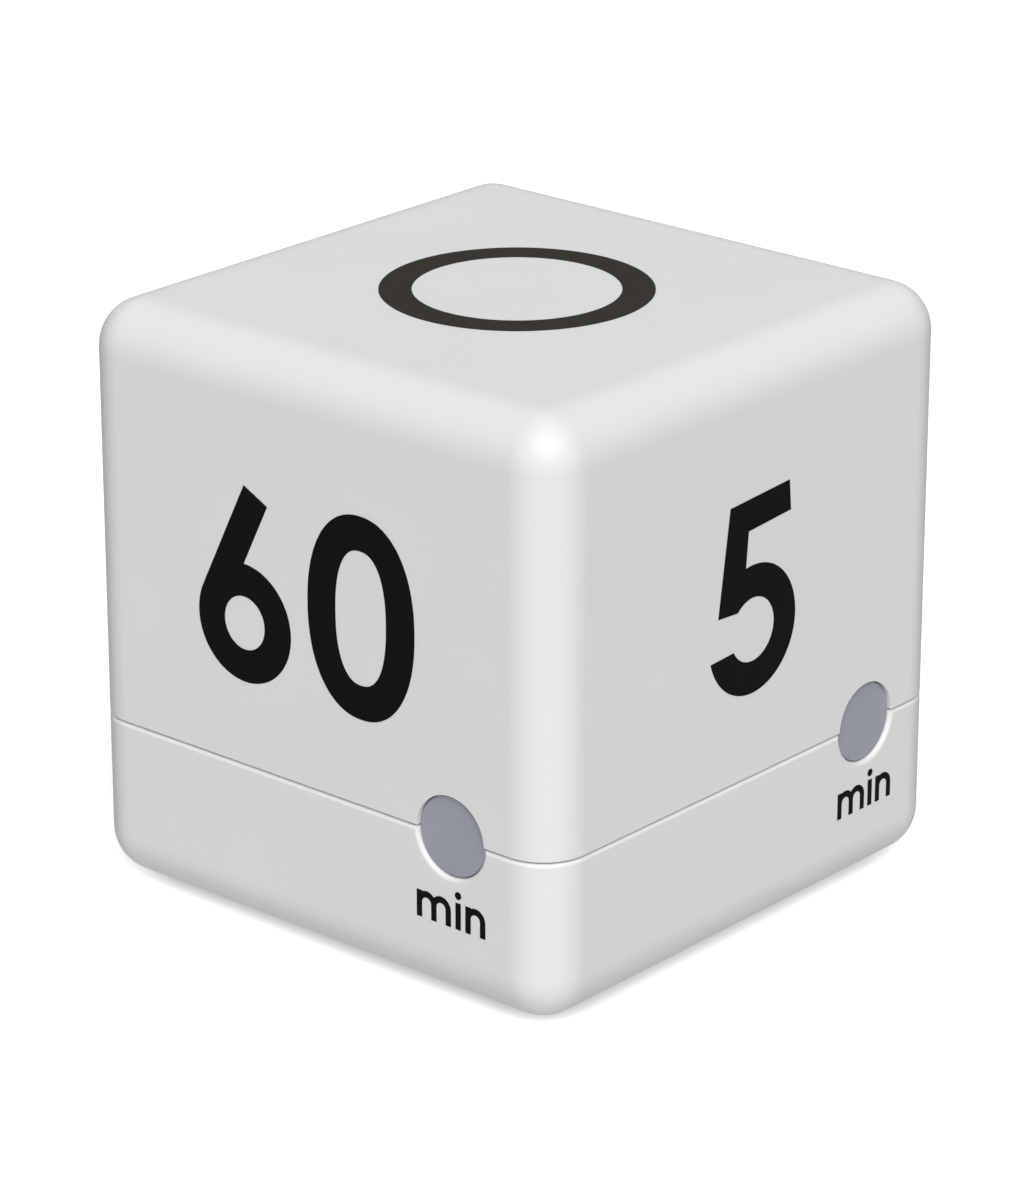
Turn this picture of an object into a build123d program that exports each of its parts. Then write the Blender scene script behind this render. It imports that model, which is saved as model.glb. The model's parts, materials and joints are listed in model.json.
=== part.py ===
from build123d import *
import os
from math import sqrt

# Cube kitchen timer: a hollow 64 mm plastic cube in two shells. It is turned so that the wanted number is
# on top, and four ball tilt switches inside tell the electronics which face that is. The lower shell holds
# two AAA cells behind a swing-out door, and the display and its power switch, which all look out of the
# bottom face.
#
# Frame, in millimetres: origin at the centre of the bottom face, +Z up, the "60" face towards -Y, the "5"
# face towards +X, "15" towards +Y and "30" towards -X.

# ---------------------------------------------------------------- driving dimensions
SIDE = 64.0  # outer size of the cube
EDGE_R = 5.2  # radius of every outer edge
WALL = 2.0  # wall of both shells
SEAM_Z = 18.4  # height of the joint between the shells
SEAM_GAP = 0.26  # visible gap of that joint
SEAM_ROUND = 0.45  # rounding of the lower shell's upper rim
GAP = 0.1  # small assembly clearance

WINDOW_X = 19.0  # window centre, to the right of each number face's middle
WINDOW_BORE_R = 4.45
WINDOW_R = 4.35
WINDOW_FLANGE_R = 5.3
WINDOW_RECESS = 0.4

CELL_R = 5.25  # AAA cell
CELL_LENGTH = 44.5
CELL_Z = 7.6
CELL_Y = (-14.5, -3.3)
BUTTON_R = 1.9
BUTTON_LENGTH = 0.9
SPRING_SPACE = 3.4

BAY_X = 24.9  # half length of the battery bay
BAY_Y = (-20.4, 2.5)
BAY_TOP = 13.1
BAY_WALL = 1.2
BAY_ROOF = 1.0
DOOR_LEDGE = 1.0
DOOR_DEPTH = 1.7  # depth of the door's seat in the bottom face
DOOR_THICK = 1.5
HOOK_X = 12.0  # the door's two hooks stand this far each side of the middle

SCREW_XY = 24.6  # shell screws stand near the cube's four vertical edges
MAIN_BOARD_Z = 14.9
BOARD_THICK = 1.6
MAIN_BOARD_HALF = 28.5
LEAD_STUB = 0.6  # how far a soldered lead stands out below the main board
DISPLAY_BOARD_Z = 6.0
DISPLAY_BOARD_THICK = 1.2
LINK_Y = 21.0  # the row of pins that joins the two boards
LINK_PITCH = 2.54
LINK_PINS = 7
CRYSTAL = (8.0, 12.0)  # places on the main board
CAPACITOR = (21.5, -8.5)
BUZZER_X = -20.5

LED_R = 1.5  # signal lamp behind each window
LED_BACK_Y = -23.6
LED_TIP_Y = -28.6
LED_LEAD_WIDTH = 0.44

LENS_CENTRE = (-2.1, 15.3)
LENS_SIZE = (35.8, 16.2)
VIEW_SIZE = (33.0, 13.4)  # opening in the bottom face behind the lens
GLASS_SIZE = (36.8, 18.4)
GLASS_THICK = 1.1

KNOB_X = 21.1  # power switch
KNOB_TRAVEL = 2.0
KNOB_SLOT_Y = (10.6, 18.4)
KNOB_LENGTH = 5.4

TILT_CAN_R = 2.3  # ball tilt switches
TILT_CAN_LENGTH = 9.5
TILT_BALL_R = 1.5
TILT_BALL_TRAVEL = 3.4
TILT_FOOT = (6.5, 20.0)  # x (and y) and z of a can's lower end
TILT_TURN = 54.7356  # degrees between a cube's body diagonal and the vertical
TILT_PLUG_TOP = 1.6
TILT_PIN_TOP = 2.4

# ---------------------------------------------------------------- derived levels
HALF = SIDE / 2
INNER = HALF - WALL
RIM_Z = SEAM_Z - SEAM_GAP / 2  # top of the lower shell's outer rim
SKIRT_Z = SEAM_Z + SEAM_GAP / 2  # bottom of the upper shell
LIP_TOP = SEAM_Z + 2.0
BOARD_TOP = MAIN_BOARD_Z + BOARD_THICK
DISPLAY_BOARD_TOP = DISPLAY_BOARD_Z + DISPLAY_BOARD_THICK
RIDGE_Y = sum(CELL_Y) / 2  # the ridge between the two cells
KNOB_MIDDLE = KNOB_SLOT_Y[0] + 0.2 + KNOB_LENGTH / 2  # middle of the grip at rest
LED_LEAD_Y = LED_BACK_Y + 1.2
DISPLAY_STANDOFFS = [(-23.2, 8.0), (-23.2, 18.0), (20.9, 6.4), (19.3, 23.2)]
SIDE_STANDOFF = (27.0, 13.0)  # the main board's two outer standoffs, mirrored in x
RIDGE_STANDOFF_X = 15.0  # and its two on the ridge
CORNERS = [(-1, -1), (1, -1), (1, 1), (-1, 1)]
TIMES = ("60", "5", "15", "30")  # the number faces, in quarter turns about Z from -Y
MAIN_BOARD_SCREWS = [(sign * SIDE_STANDOFF[0], SIDE_STANDOFF[1]) for sign in (-1, 1)]
MAIN_BOARD_SCREWS += [(sign * RIDGE_STANDOFF_X, RIDGE_Y) for sign in (-1, 1)]


# ---------------------------------------------------------------- shape helpers
def block(x, y, z):
    """A box between the given (low, high) pairs."""
    size = [high - low for low, high in (x, y, z)]
    middle = [(high + low) / 2 for low, high in (x, y, z)]
    return Pos(*middle) * Box(*size)


def post(x, y, z, radius):
    """An upright cylinder at (x, y) between the heights in z."""
    return Pos(x, y, (z[0] + z[1]) / 2) * Cylinder(radius, z[1] - z[0])


def rod(y, z, x, radius):
    """A cylinder along X at (y, z) between the positions in x."""
    return Pos((x[0] + x[1]) / 2, y, z) * Rot(0, 90, 0) * Cylinder(radius, x[1] - x[0])


def peg(x, z, y, radius):
    """A cylinder along Y at (x, z) between the positions in y."""
    return Pos(x, (y[0] + y[1]) / 2, z) * Rot(90, 0, 0) * Cylinder(radius, y[1] - y[0])


def slab(centre, size, z, radius):
    """A plate with rounded corners between the heights in z."""
    outline = Pos(*centre, z[0]) * RectangleRounded(*size, radius)
    return extrude(outline, amount=z[1] - z[0])


def span(low, high):
    """The middle and the length of an interval."""
    return (low + high) / 2, high - low


def quarter(turns):
    """A number of quarter turns about Z."""
    return Rot(0, 0, 90 * turns)


def group(solids):
    """Several separate solids as one node."""
    return Compound(children=[Part() + solid for solid in solids])


def rounded_cube(inset):
    """The cube's outer form, moved inwards by inset."""
    side = SIDE - 2 * inset
    cube = Pos(0, 0, HALF) * Box(side, side, side)
    return fillet(cube.edges(), EDGE_R - inset)


def rim_prism(inset, z):
    """An upright prism of the cube's plan outline, moved inwards by inset."""
    side = SIDE - 2 * inset
    return slab((0, 0), (side, side), z, EDGE_R - inset)


# ---------------------------------------------------------------- casing
def window_bores():
    """The four round openings that both shells share, on the joint line."""
    bore = peg(WINDOW_X, SEAM_Z, (-HALF - 1, -INNER + 1.2), WINDOW_BORE_R)
    return [quarter(turn) * bore for turn in range(4)]


def corner_web(x_sign, y_sign, z):
    """The diagonal rib that ties a screw column to the cube's vertical edge."""
    length, width = 7.2, 1.2
    middle = SCREW_XY + length / 2 / sqrt(2)
    turned = Pos(x_sign * middle, y_sign * middle, (z[0] + z[1]) / 2) * Rot(0, 0, 45 * x_sign * y_sign)
    return turned * Box(length, width, z[1] - z[0])


def make_upper_shell():
    """Five-sided cap with the 0 on top, with four screw columns down its corners."""
    body = rounded_cube(0) - rounded_cube(WALL)
    body &= block((-HALF, HALF), (-HALF, HALF), (SKIRT_Z, SIDE))
    body -= rim_prism(WALL / 2, (SKIRT_Z - 1, LIP_TOP + SEAM_GAP))
    column_r, pilot_r = 2.8, 1.15
    column_z = (16.6, SIDE - WALL / 2)
    for x_sign, y_sign in CORNERS:
        x, y = x_sign * SCREW_XY, y_sign * SCREW_XY
        body += post(x, y, column_z, column_r)
        body += corner_web(x_sign, y_sign, (LIP_TOP + 0.6, column_z[1]))
    body &= rounded_cube(0)
    for x_sign, y_sign in CORNERS:
        body -= post(x_sign * SCREW_XY, y_sign * SCREW_XY, (column_z[0] - 1, 28.0), pilot_r)
    # a low ring and a cross of ribs stiffen the middle of the top face from inside
    rib_z = (SIDE - WALL - 1.2, SIDE - WALL + 0.5)
    body += post(0, 0, rib_z, 15.5) - post(0, 0, (rib_z[0] - 1, rib_z[1] + 1), 14.5)
    for size in ((2 * SCREW_XY, 1.0), (1.0, 2 * SCREW_XY)):
        body += slab((0, 0), size, rib_z, 0.4)
    for bore in window_bores():
        body -= bore
    return body


def soften_rim(shell):
    """Rounds the lower shell's outer top edge, and the corners where it meets the window notches."""
    notch_half = sqrt(WINDOW_BORE_R**2 - (SEAM_Z - RIM_Z) ** 2)
    corners = []
    for edge in shell.edges().filter_by(lambda e: abs((e @ 0.5).Z - RIM_Z) < 0.01 and e.length < WALL):
        middle = edge @ 0.5
        for turn in range(4):
            spot = (quarter(-turn) * Pos(middle.X, middle.Y, 0)).position
            beside = abs(abs(spot.X - WINDOW_X) - notch_half) < 0.05
            if beside and -HALF - 0.05 < spot.Y < -HALF + WALL:
                corners.append(edge)
    if corners:
        shell = fillet(corners, 0.7)
    outer = []
    for edge in shell.edges():
        middle = edge @ 0.5
        ends = (edge @ 0, edge @ 1)
        on_side = all(max(abs(p.X), abs(p.Y)) > HALF - EDGE_R * 0.31 for p in (*ends, middle))
        at_rim = middle.Z > SEAM_Z - WINDOW_BORE_R - 0.05 and all(p.Z > SEAM_Z - 4.6 for p in ends)
        flat = all(max(abs(p.X), abs(p.Y)) > HALF - 0.01 for p in (*ends, middle))
        corner_arc = abs(middle.Z - RIM_Z) < 0.01 and not flat and on_side
        if middle.Z < RIM_Z + 0.01 and at_rim and (flat or corner_arc):
            outer.append(edge)
    return fillet(outer, SEAM_ROUND)


def add_battery_bay(tray):
    """A tub that opens through the bottom face, with a stepped seat for the door, and the screw columns."""
    bay_y, bay_width = span(*BAY_Y)
    wall_x = (-BAY_X - BAY_WALL, BAY_X + BAY_WALL)
    wall_y = (BAY_Y[0] - BAY_WALL, BAY_Y[1] + BAY_WALL)
    tray += block(wall_x, wall_y, (WALL / 2, BAY_TOP + BAY_ROOF))
    for x_sign, y_sign in CORNERS:
        tray += post(x_sign * SCREW_XY, y_sign * SCREW_XY, (WALL / 2, 16.4), 2.9)
        tray += corner_web(x_sign, y_sign, (WALL / 2, MAIN_BOARD_Z - 0.4)) & rounded_cube(WALL / 2)
    tray -= block((-BAY_X, BAY_X), BAY_Y, (-1, BAY_TOP))
    seat = (2 * (BAY_X + DOOR_LEDGE), bay_width + 2 * DOOR_LEDGE)
    tray -= slab((0, bay_y), seat, (-1, DOOR_DEPTH), 1.5)
    tray += block((-20, 20), (RIDGE_Y - 0.6, RIDGE_Y + 0.6), (11.0, BAY_TOP + BAY_ROOF / 2))
    for x_sign in (-1, 1):
        # closed pockets beside the tub for the door's hooks
        middle_x = x_sign * HOOK_X
        tray += block((middle_x - 5.3, middle_x + 5.3), (BAY_Y[0] - 3.6, BAY_Y[0] - 1), (WALL / 2, 5.4))
        tray -= block((middle_x - 4.3, middle_x + 4.3), (BAY_Y[0] - 2.7, BAY_Y[0] + 0.1), (WALL + 0.05, 4.4))
    # shallow pocket for the door's latch
    tray -= block((-5.4, 5.4), (BAY_Y[1] - 0.1, BAY_Y[1] + 0.6), (2.4, 4.0))
    for cell_y in CELL_Y:
        tray -= block((24.3, 25.0), (cell_y - 1.4, cell_y + 1.4), (BAY_TOP - 0.1, BAY_TOP + 1.5))
    return tray


def cut_bottom_openings(tray):
    """Finger notch at the door's free edge, the display's stepped opening and the power switch's slot."""
    tray -= slab((0, BAY_Y[1] + 1.6), (12.0, 3.2), (-1, 0.9), 1.2)
    tray -= slab(LENS_CENTRE, (LENS_SIZE[0] + 2 * GAP, LENS_SIZE[1] + 2 * GAP), (-1, 1.1), 1.6)
    tray -= slab(LENS_CENTRE, VIEW_SIZE, (-1, WALL + 1), 1.0)
    slot_y, slot_length = span(*KNOB_SLOT_Y)
    tray -= slab((KNOB_X, slot_y), (3.4, slot_length), (-1, WALL + 1), 0.6)
    tray -= slab((KNOB_X, slot_y), (6.0, slot_length + 2.8), (-1, 0.6), 1.5)
    return tray


def add_standoffs(tray):
    """Screw posts for the two boards."""
    for x, y in DISPLAY_STANDOFFS:
        tray += post(x, y, (WALL / 2, DISPLAY_BOARD_Z), 1.6)
        tray -= post(x, y, (WALL + 0.3, DISPLAY_BOARD_Z + 1), 0.75)
    side_x, side_y = SIDE_STANDOFF
    for x_sign in (-1, 1):
        x = x_sign * side_x
        tray += post(x, side_y, (WALL / 2, MAIN_BOARD_Z), 1.9)
        web_x = tuple(sorted((x, x_sign * (INNER + 0.5))))
        web = block(web_x, (side_y - 0.6, side_y + 0.6), (WALL / 2, MAIN_BOARD_Z - 0.5))
        tray += web & rounded_cube(WALL / 2)
        tray -= post(x, side_y, (8.0, MAIN_BOARD_Z + 1), 0.85)
        tray += post(x_sign * RIDGE_STANDOFF_X, RIDGE_Y, (11.4, MAIN_BOARD_Z), 1.6)
        tray -= post(x_sign * RIDGE_STANDOFF_X, RIDGE_Y, (11.9, MAIN_BOARD_Z), 0.85)
    return tray


def add_window_cradles(tray):
    """Half rings that cradle the windows' flanges."""
    cradle = peg(WINDOW_X, SEAM_Z, (-INNER - 0.3, -INNER + 1.1), WINDOW_FLANGE_R + 1.0)
    cradle -= peg(WINDOW_X, SEAM_Z, (-INNER - 1, -INNER + 2), WINDOW_FLANGE_R + GAP)
    cradle &= block((0, HALF), (-HALF, 0), (0, RIM_Z - 0.1))
    cradle &= rounded_cube(WALL - 0.3)
    for turn in range(4):
        tray += quarter(turn) * cradle

    # screw holes: a deep seat for the head, then a clearance hole
    for x_sign, y_sign in CORNERS:
        tray -= post(x_sign * SCREW_XY, y_sign * SCREW_XY, (-1, 8.0), 2.1)
        tray -= post(x_sign * SCREW_XY, y_sign * SCREW_XY, (7, 17), 1.3)
    return tray


def make_lower_shell():
    """Tray with the bottom face, the battery bay, the display opening and the boards' standoffs."""
    tray = rounded_cube(0) - rounded_cube(WALL)
    tray &= block((-HALF, HALF), (-HALF, HALF), (0, RIM_Z))
    for bore in window_bores():
        tray -= bore
    tray = soften_rim(tray)
    lip = rim_prism(WALL / 2 + GAP, (RIM_Z - 2, LIP_TOP)) - rim_prism(WALL, (RIM_Z - 3, LIP_TOP + 1))
    for bore in window_bores():
        lip -= bore
    tray += lip
    tray = add_battery_bay(tray)
    tray = cut_bottom_openings(tray)
    tray = add_standoffs(tray)
    return add_window_cradles(tray)


def make_window(turn):
    """Translucent round light window with a flange inside the wall and a short light guide."""
    face_y = -HALF + WINDOW_RECESS
    disc = peg(WINDOW_X, SEAM_Z, (face_y, -INNER + GAP), WINDOW_R)
    disc = fillet(disc.edges().filter_by(lambda e: (e @ 0).Y < face_y + 0.01), 0.15)
    flange = peg(WINDOW_X, SEAM_Z, (-INNER + GAP / 2, -INNER + 0.8), WINDOW_FLANGE_R)
    socket = peg(WINDOW_X, SEAM_Z, (-INNER - 0.4, -INNER + 2), 1.8)
    return quarter(turn) * (disc + flange - socket)


def make_display_lens():
    """Clear pane that is bonded flush into the bottom face."""
    return slab(LENS_CENTRE, LENS_SIZE, (0.05, 1.05), 1.5)


# ---------------------------------------------------------------- battery door
def make_battery_door():
    """Door plate with two hooks on its hinge edge, a latch on its free edge and grip ribs outside."""
    y_low, y_high = BAY_Y[0] - DOOR_LEDGE + 0.2, BAY_Y[1] + DOOR_LEDGE - 0.2
    middle, width = span(y_low, y_high)
    half_length = BAY_X + DOOR_LEDGE - 0.2
    bottom, top = 0.1, 0.1 + DOOR_THICK
    door = slab((0, middle), (2 * half_length, width), (bottom, top), 1.3)
    for x_sign in (-1, 1):
        hook_x = (x_sign * HOOK_X - 4, x_sign * HOOK_X + 4)
        door += block(hook_x, (BAY_Y[0] + 0.1, BAY_Y[0] + 1.1), (top - 0.1, 3.3))
        door += block(hook_x, (BAY_Y[0] - 2.4, BAY_Y[0] + 1.1), (2.5, 3.3))
    # latch: a thin upright leg with a bump that faces the bay's wall
    door += block((-5, 5), (1.3, 2.1), (top - 0.1, 4.1))
    door += rod(1.95, 3.1, (-4.5, 4.5), 0.25)
    # slots each side let the latch's strip of the plate flex
    for x_sign in (-1, 1):
        slot_x = tuple(sorted((x_sign * 6.0, x_sign * 6.6)))
        door -= block(slot_x, (-2.5, y_high + 1), (bottom - 1, top + 0.3))
    # stiffening ribs inside, between and beside the cells
    for rib_y in (-18.0, -8.9, -0.6):
        rib = block((-21, 21), (rib_y - 0.4, rib_y + 0.4), (top - 0.1, 2.15))
        door += rib - block((-7, 7), (-3, 3), (0, 3))
    # shallow grip grooves outside, near the free edge
    for step in range(4):
        groove_y = y_high - 1.6 - 1.3 * step
        door -= slab((0, groove_y), (9.0, 0.6), (bottom - 1, bottom + 0.3), 0.25)
    return door


def make_door_foam():
    """Two foam strips on the door, which stop the cells from rattling."""
    z = (0.1 + DOOR_THICK, 2.3)
    return group([block((-18, 18), (y - 2.2, y + 2.2), z) for y in CELL_Y])


# ---------------------------------------------------------------- cells and contacts
def cell_ends(index):
    """The x of a cell's flat end and of its button tip."""
    tip = BAY_X - 1.3
    flat = tip - CELL_LENGTH
    return (flat, tip) if index == 0 else (-flat, -tip)


def make_cell_can(index):
    """Steel can with the positive button at one end."""
    flat, tip = cell_ends(index)
    sign = 1 if tip > flat else -1
    y = CELL_Y[index]
    shoulder = tip - sign * BUTTON_LENGTH
    body = rod(y, CELL_Z, tuple(sorted((flat, shoulder))), CELL_R - 0.15)
    body = fillet(body.edges().filter_by(GeomType.CIRCLE), 0.5)
    button = rod(y, CELL_Z, tuple(sorted((shoulder - sign * 0.5, tip))), BUTTON_R)
    button = fillet(button.edges().filter_by(lambda e: abs((e @ 0).X - tip) < 0.01), 0.3)
    return body + button


def make_cell_jacket(index):
    """Printed film sleeve, which wraps a little over both ends of the can."""
    flat, tip = cell_ends(index)
    sign = 1 if tip > flat else -1
    y = CELL_Y[index]
    ends = (flat + sign * 0.55, tip - sign * (BUTTON_LENGTH + 0.55))
    sleeve = rod(y, CELL_Z, tuple(sorted(ends)), CELL_R)
    return sleeve - rod(y, CELL_Z, (-HALF, HALF), CELL_R - 0.15)


def contact_plate(x_sign, cell_y, z_top, half_width=3.9):
    """Nickel-plated strip that stands against an end wall of the bay."""
    x = tuple(sorted((x_sign * (BAY_X - 0.5), x_sign * (BAY_X - 0.1))))
    plate = block(x, (cell_y - half_width, cell_y + half_width), (3.4, 12.4))
    if z_top > 12.4:
        plate += block(x, (cell_y - 1.1, cell_y + 1.1), (12.0, z_top))
    return plate


def button_bump(x_sign, cell_y):
    """The pressed bump that touches a cell's button."""
    x = tuple(sorted((x_sign * (BAY_X - 0.5), x_sign * (BAY_X - 1.25))))
    return rod(cell_y, CELL_Z, x, 2.2)


def make_contact_positive():
    return contact_plate(1, CELL_Y[0], BOARD_TOP + 0.8) + button_bump(1, CELL_Y[0])


def make_contact_negative():
    return contact_plate(1, CELL_Y[1], BOARD_TOP + 0.8)


def make_contact_bridge():
    """The one plate that joins the cells at their other end."""
    link_x = (-(BAY_X - 0.1), -(BAY_X - 0.5))
    plate = contact_plate(-1, CELL_Y[0], 0) + contact_plate(-1, CELL_Y[1], 0)
    plate += block(link_x, (CELL_Y[0] + 2, CELL_Y[1] - 2), (4.4, 10.0))
    return plate + button_bump(-1, CELL_Y[1])


def make_contact_spring(x_sign, cell_y):
    """Conical wire spring, squeezed between its plate and a cell's flat end."""
    wire_r, base_r = 0.25, 3.6
    height = SPRING_SPACE - 0.5 - 2 * wire_r - 0.12
    path = Helix(pitch=height / 2.6, height=height, radius=base_r, cone_angle=-24)
    coil = sweep(Plane(origin=path @ 0, z_dir=path % 0) * Circle(wire_r), path=path, is_frenet=True)
    foot = x_sign * (BAY_X - 0.5 - wire_r - 0.06)
    return Pos(foot, cell_y, CELL_Z) * Rot(0, -90 * x_sign, 0) * coil


# ---------------------------------------------------------------- boards
def make_main_board():
    """Square board with cut corners that clear the screw columns."""
    half = MAIN_BOARD_HALF
    z = (MAIN_BOARD_Z, BOARD_TOP)
    board = slab((0, 0), (2 * half, 2 * half), z, 1.0)
    cut = 21.2
    for x_sign, y_sign in CORNERS:
        x = tuple(sorted((x_sign * cut, x_sign * (half + 1))))
        y = tuple(sorted((y_sign * cut, y_sign * (half + 1))))
        board -= block(x, y, (z[0] - 1, z[1] + 1))
    for x, y in MAIN_BOARD_SCREWS:
        board -= post(x, y, (z[0] - 1, z[1] + 1), 1.0)
    for cell_y in CELL_Y:
        board -= block((24.2, 25.0), (cell_y - 1.3, cell_y + 1.3), (z[0] - 1, z[1] + 1))
    for x, y, radius in board_holes():
        board -= post(x, y, (z[0] - 1, z[1] + 1), radius)
    return board


def board_holes():
    """Plated holes of the main board: x, y and radius."""
    holes = [(x, LINK_Y, 0.45) for x in link_xs()]
    for x_sign, y_sign in CORNERS:
        holes += [(x, y, 0.4) for x, y in tilt_pin_feet(x_sign, y_sign)]
    for turn in range(4):
        for side in (-1, 1):
            spot = quarter(turn) * Pos(WINDOW_X + side * 1.27, LED_LEAD_Y, 0)
            holes.append((spot.position.X, spot.position.Y, 0.4))
    holes += [(BUZZER_X, side * 3.25, 0.45) for side in (-1, 1)]
    holes += [(CAPACITOR[0], CAPACITOR[1] + side, 0.4) for side in (-1, 1)]
    return holes


def make_display_board():
    """Board behind the display, with its two corners cut for the screw columns."""
    z = (DISPLAY_BOARD_Z, DISPLAY_BOARD_TOP)
    board = block((-24.9, 24.0), (5.2, 25.6), z)
    for x in ((-HALF, -21.3), (21.3, HALF)):
        board -= block(x, (21.2, 30), (z[0] - 1, z[1] + 1))
    for x, y in DISPLAY_STANDOFFS:
        board -= post(x, y, (z[0] - 1, z[1] + 1), 0.9)
    for x in link_xs():
        board -= post(x, LINK_Y, (z[0] - 1, z[1] + 1), 0.45)
    return board


def link_xs():
    """The x of each pin of the header that joins the two boards."""
    return [(index - (LINK_PINS - 1) / 2) * LINK_PITCH for index in range(LINK_PINS)]


def make_link_header():
    """Plastic spacer of the pin header between the boards."""
    length = LINK_PINS * LINK_PITCH
    body = block((-length / 2, length / 2), (LINK_Y - 1.25, LINK_Y + 1.25), (DISPLAY_BOARD_TOP + 0.8, 12.4))
    for x in link_xs():
        body -= block((x - 0.34, x + 0.34), (LINK_Y - 0.34, LINK_Y + 0.34), (DISPLAY_BOARD_TOP, 13))
    return body


def make_link_pins():
    z = (DISPLAY_BOARD_Z - 0.8, BOARD_TOP + 1.0)
    return group([block((x - 0.3, x + 0.3), (LINK_Y - 0.3, LINK_Y + 0.3), z) for x in link_xs()])


def make_chip_blob():
    """Black resin dome over the bare timer chip."""
    dome_r, dome_height = 5.2, 1.5
    sphere_r = (dome_r**2 + dome_height**2) / (2 * dome_height)
    ball = Pos(-8.0, 12.0, DISPLAY_BOARD_TOP + dome_height - sphere_r) * Sphere(sphere_r)
    return ball & block((-20, 4), (0, 24), (DISPLAY_BOARD_TOP, 12))


def make_crystal_can():
    """Watch crystal lying on the display board."""
    z = DISPLAY_BOARD_TOP + 1.1
    can = rod(CRYSTAL[1], z, (CRYSTAL[0], CRYSTAL[0] + 6), 1.0)
    return fillet(can.edges().filter_by(lambda e: (e @ 0).X > CRYSTAL[0] + 5), 0.3)


def make_capacitor():
    """Upright electrolytic capacitor with its two leads."""
    x, y = CAPACITOR
    can = post(x, y, (BOARD_TOP + 0.1, BOARD_TOP + 7.4), 2.5)
    can = fillet(can.edges().filter_by(GeomType.CIRCLE), 0.4)
    groove = post(x, y, (BOARD_TOP + 1.1, BOARD_TOP + 1.6), 3) - post(x, y, (BOARD_TOP, BOARD_TOP + 3), 2.25)
    can -= groove
    for side in (-1, 1):
        can += post(x, y + side, (MAIN_BOARD_Z - LEAD_STUB, BOARD_TOP + 0.3), 0.25)
    return can


def make_chip_components():
    """Small surface-mounted resistors and capacitors on both boards."""
    spots = [(x, 17.5, BOARD_TOP, 0) for x in (-6.0, -3.5, -1.0, 1.5, 4.0, 6.5)]
    spots += [(x, -18.0, BOARD_TOP, 90) for x in (-9.0, -6.0, 4.0, 7.0)]
    spots += [(20.5, y, BOARD_TOP, 90) for y in (2.0, 5.0, 8.0)]
    spots += [(x, 15.5, DISPLAY_BOARD_TOP, 0) for x in (8.5, 11.5, 14.5)]
    chips = []
    for x, y, z, turn in spots:
        chips.append(Pos(x, y, z + 0.3) * Rot(0, 0, turn) * Box(2.0, 1.2, 0.55))
    return group(chips)


def make_transistors():
    """Two small three-legged transistors that drive the lamps and the buzzer."""
    parts = []
    for x, y in ((-20.5, 11.0), (12.0, 19.5)):
        body = Pos(x, y, BOARD_TOP + 0.65) * Box(2.9, 1.3, 1.0)
        for dx, dy in ((-0.95, -1.0), (0.95, -1.0), (0, 1.0)):
            body += Pos(x + dx, y + dy, BOARD_TOP + 0.25) * Box(0.4, 0.9, 0.3)
        parts.append(body)
    return group(parts)


# ---------------------------------------------------------------- signal lamps and buzzer
def make_led_lamp(turn):
    """Round lamp that lies on the main board's edge and shines into its window."""
    body = peg(WINDOW_X, SEAM_Z, (LED_TIP_Y + LED_R, LED_BACK_Y - 0.9), LED_R)
    body += Pos(WINDOW_X, LED_TIP_Y + LED_R, SEAM_Z) * Sphere(LED_R)
    body += peg(WINDOW_X, SEAM_Z, (LED_BACK_Y - 1.0, LED_BACK_Y), 1.68)
    return quarter(turn) * body


def make_led_leads():
    """Bent leads of the four lamps."""
    half = LED_LEAD_WIDTH / 2
    leads = []
    for turn in range(4):
        for side in (-1, 1):
            x = WINDOW_X + side * 1.27
            lead_x = (x - half, x + half)
            lead = block(lead_x, (LED_BACK_Y, LED_LEAD_Y + half), (SEAM_Z - half, SEAM_Z + half))
            down_z = (MAIN_BOARD_Z - LEAD_STUB, SEAM_Z + half)
            lead += block(lead_x, (LED_LEAD_Y - half, LED_LEAD_Y + half), down_z)
            leads.append(quarter(turn) * lead)
    return group(leads)


def make_buzzer_case():
    """Round case, open below, with the sound hole on top."""
    top = BOARD_TOP + 8.7
    case = post(BUZZER_X, 0, (BOARD_TOP + 0.1, top), 6.0)
    case = fillet(case.edges().filter_by(lambda e: (e @ 0).Z > top - 0.1), 0.5)
    case -= post(BUZZER_X, 0, (BOARD_TOP, top - 1.0), 5.3)
    return case - post(BUZZER_X, 0, (top - 2, top + 1), 1.1)


def make_buzzer_base():
    """Base disc with the iron core and the two pins."""
    base = post(BUZZER_X, 0, (BOARD_TOP + 0.15, BOARD_TOP + 1.3), 5.2)
    base += post(BUZZER_X, 0, (BOARD_TOP + 1, BOARD_TOP + 5.2), 1.0)
    for side in (-1, 1):
        base += post(BUZZER_X, side * 3.25, (MAIN_BOARD_Z - LEAD_STUB, BOARD_TOP + 0.4), 0.3)
    return base


def make_buzzer_magnet():
    z = (BOARD_TOP + 1.35, BOARD_TOP + 4.8)
    return post(BUZZER_X, 0, z, 5.2) - post(BUZZER_X, 0, (z[0] - 1, z[1] + 1), 3.8)


def make_buzzer_coil():
    z = (BOARD_TOP + 1.35, BOARD_TOP + 4.8)
    return post(BUZZER_X, 0, z, 3.2) - post(BUZZER_X, 0, (z[0] - 1, z[1] + 1), 1.05)


def make_buzzer_diaphragm():
    """Thin steel disc with a weight at its middle, over the core."""
    z = BOARD_TOP + 5.5
    return post(BUZZER_X, 0, (z, z + 0.15), 5.2) + post(BUZZER_X, 0, (z + 0.1, z + 0.6), 1.8)


# ---------------------------------------------------------------- display
def make_lcd_glass(front):
    """One of the display's two glass plates; the front one is the wider, and carries the contact strips."""
    x, y = LENS_CENTRE
    bottom = 2.3
    if front:
        return slab((x, y), GLASS_SIZE, (bottom, bottom + GLASS_THICK), 0.2)
    width = (GLASS_SIZE[0], GLASS_SIZE[1] - 4.2)
    low = bottom + GLASS_THICK + 0.02
    return slab((x, y), width, (low, low + GLASS_THICK), 0.2)


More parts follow.
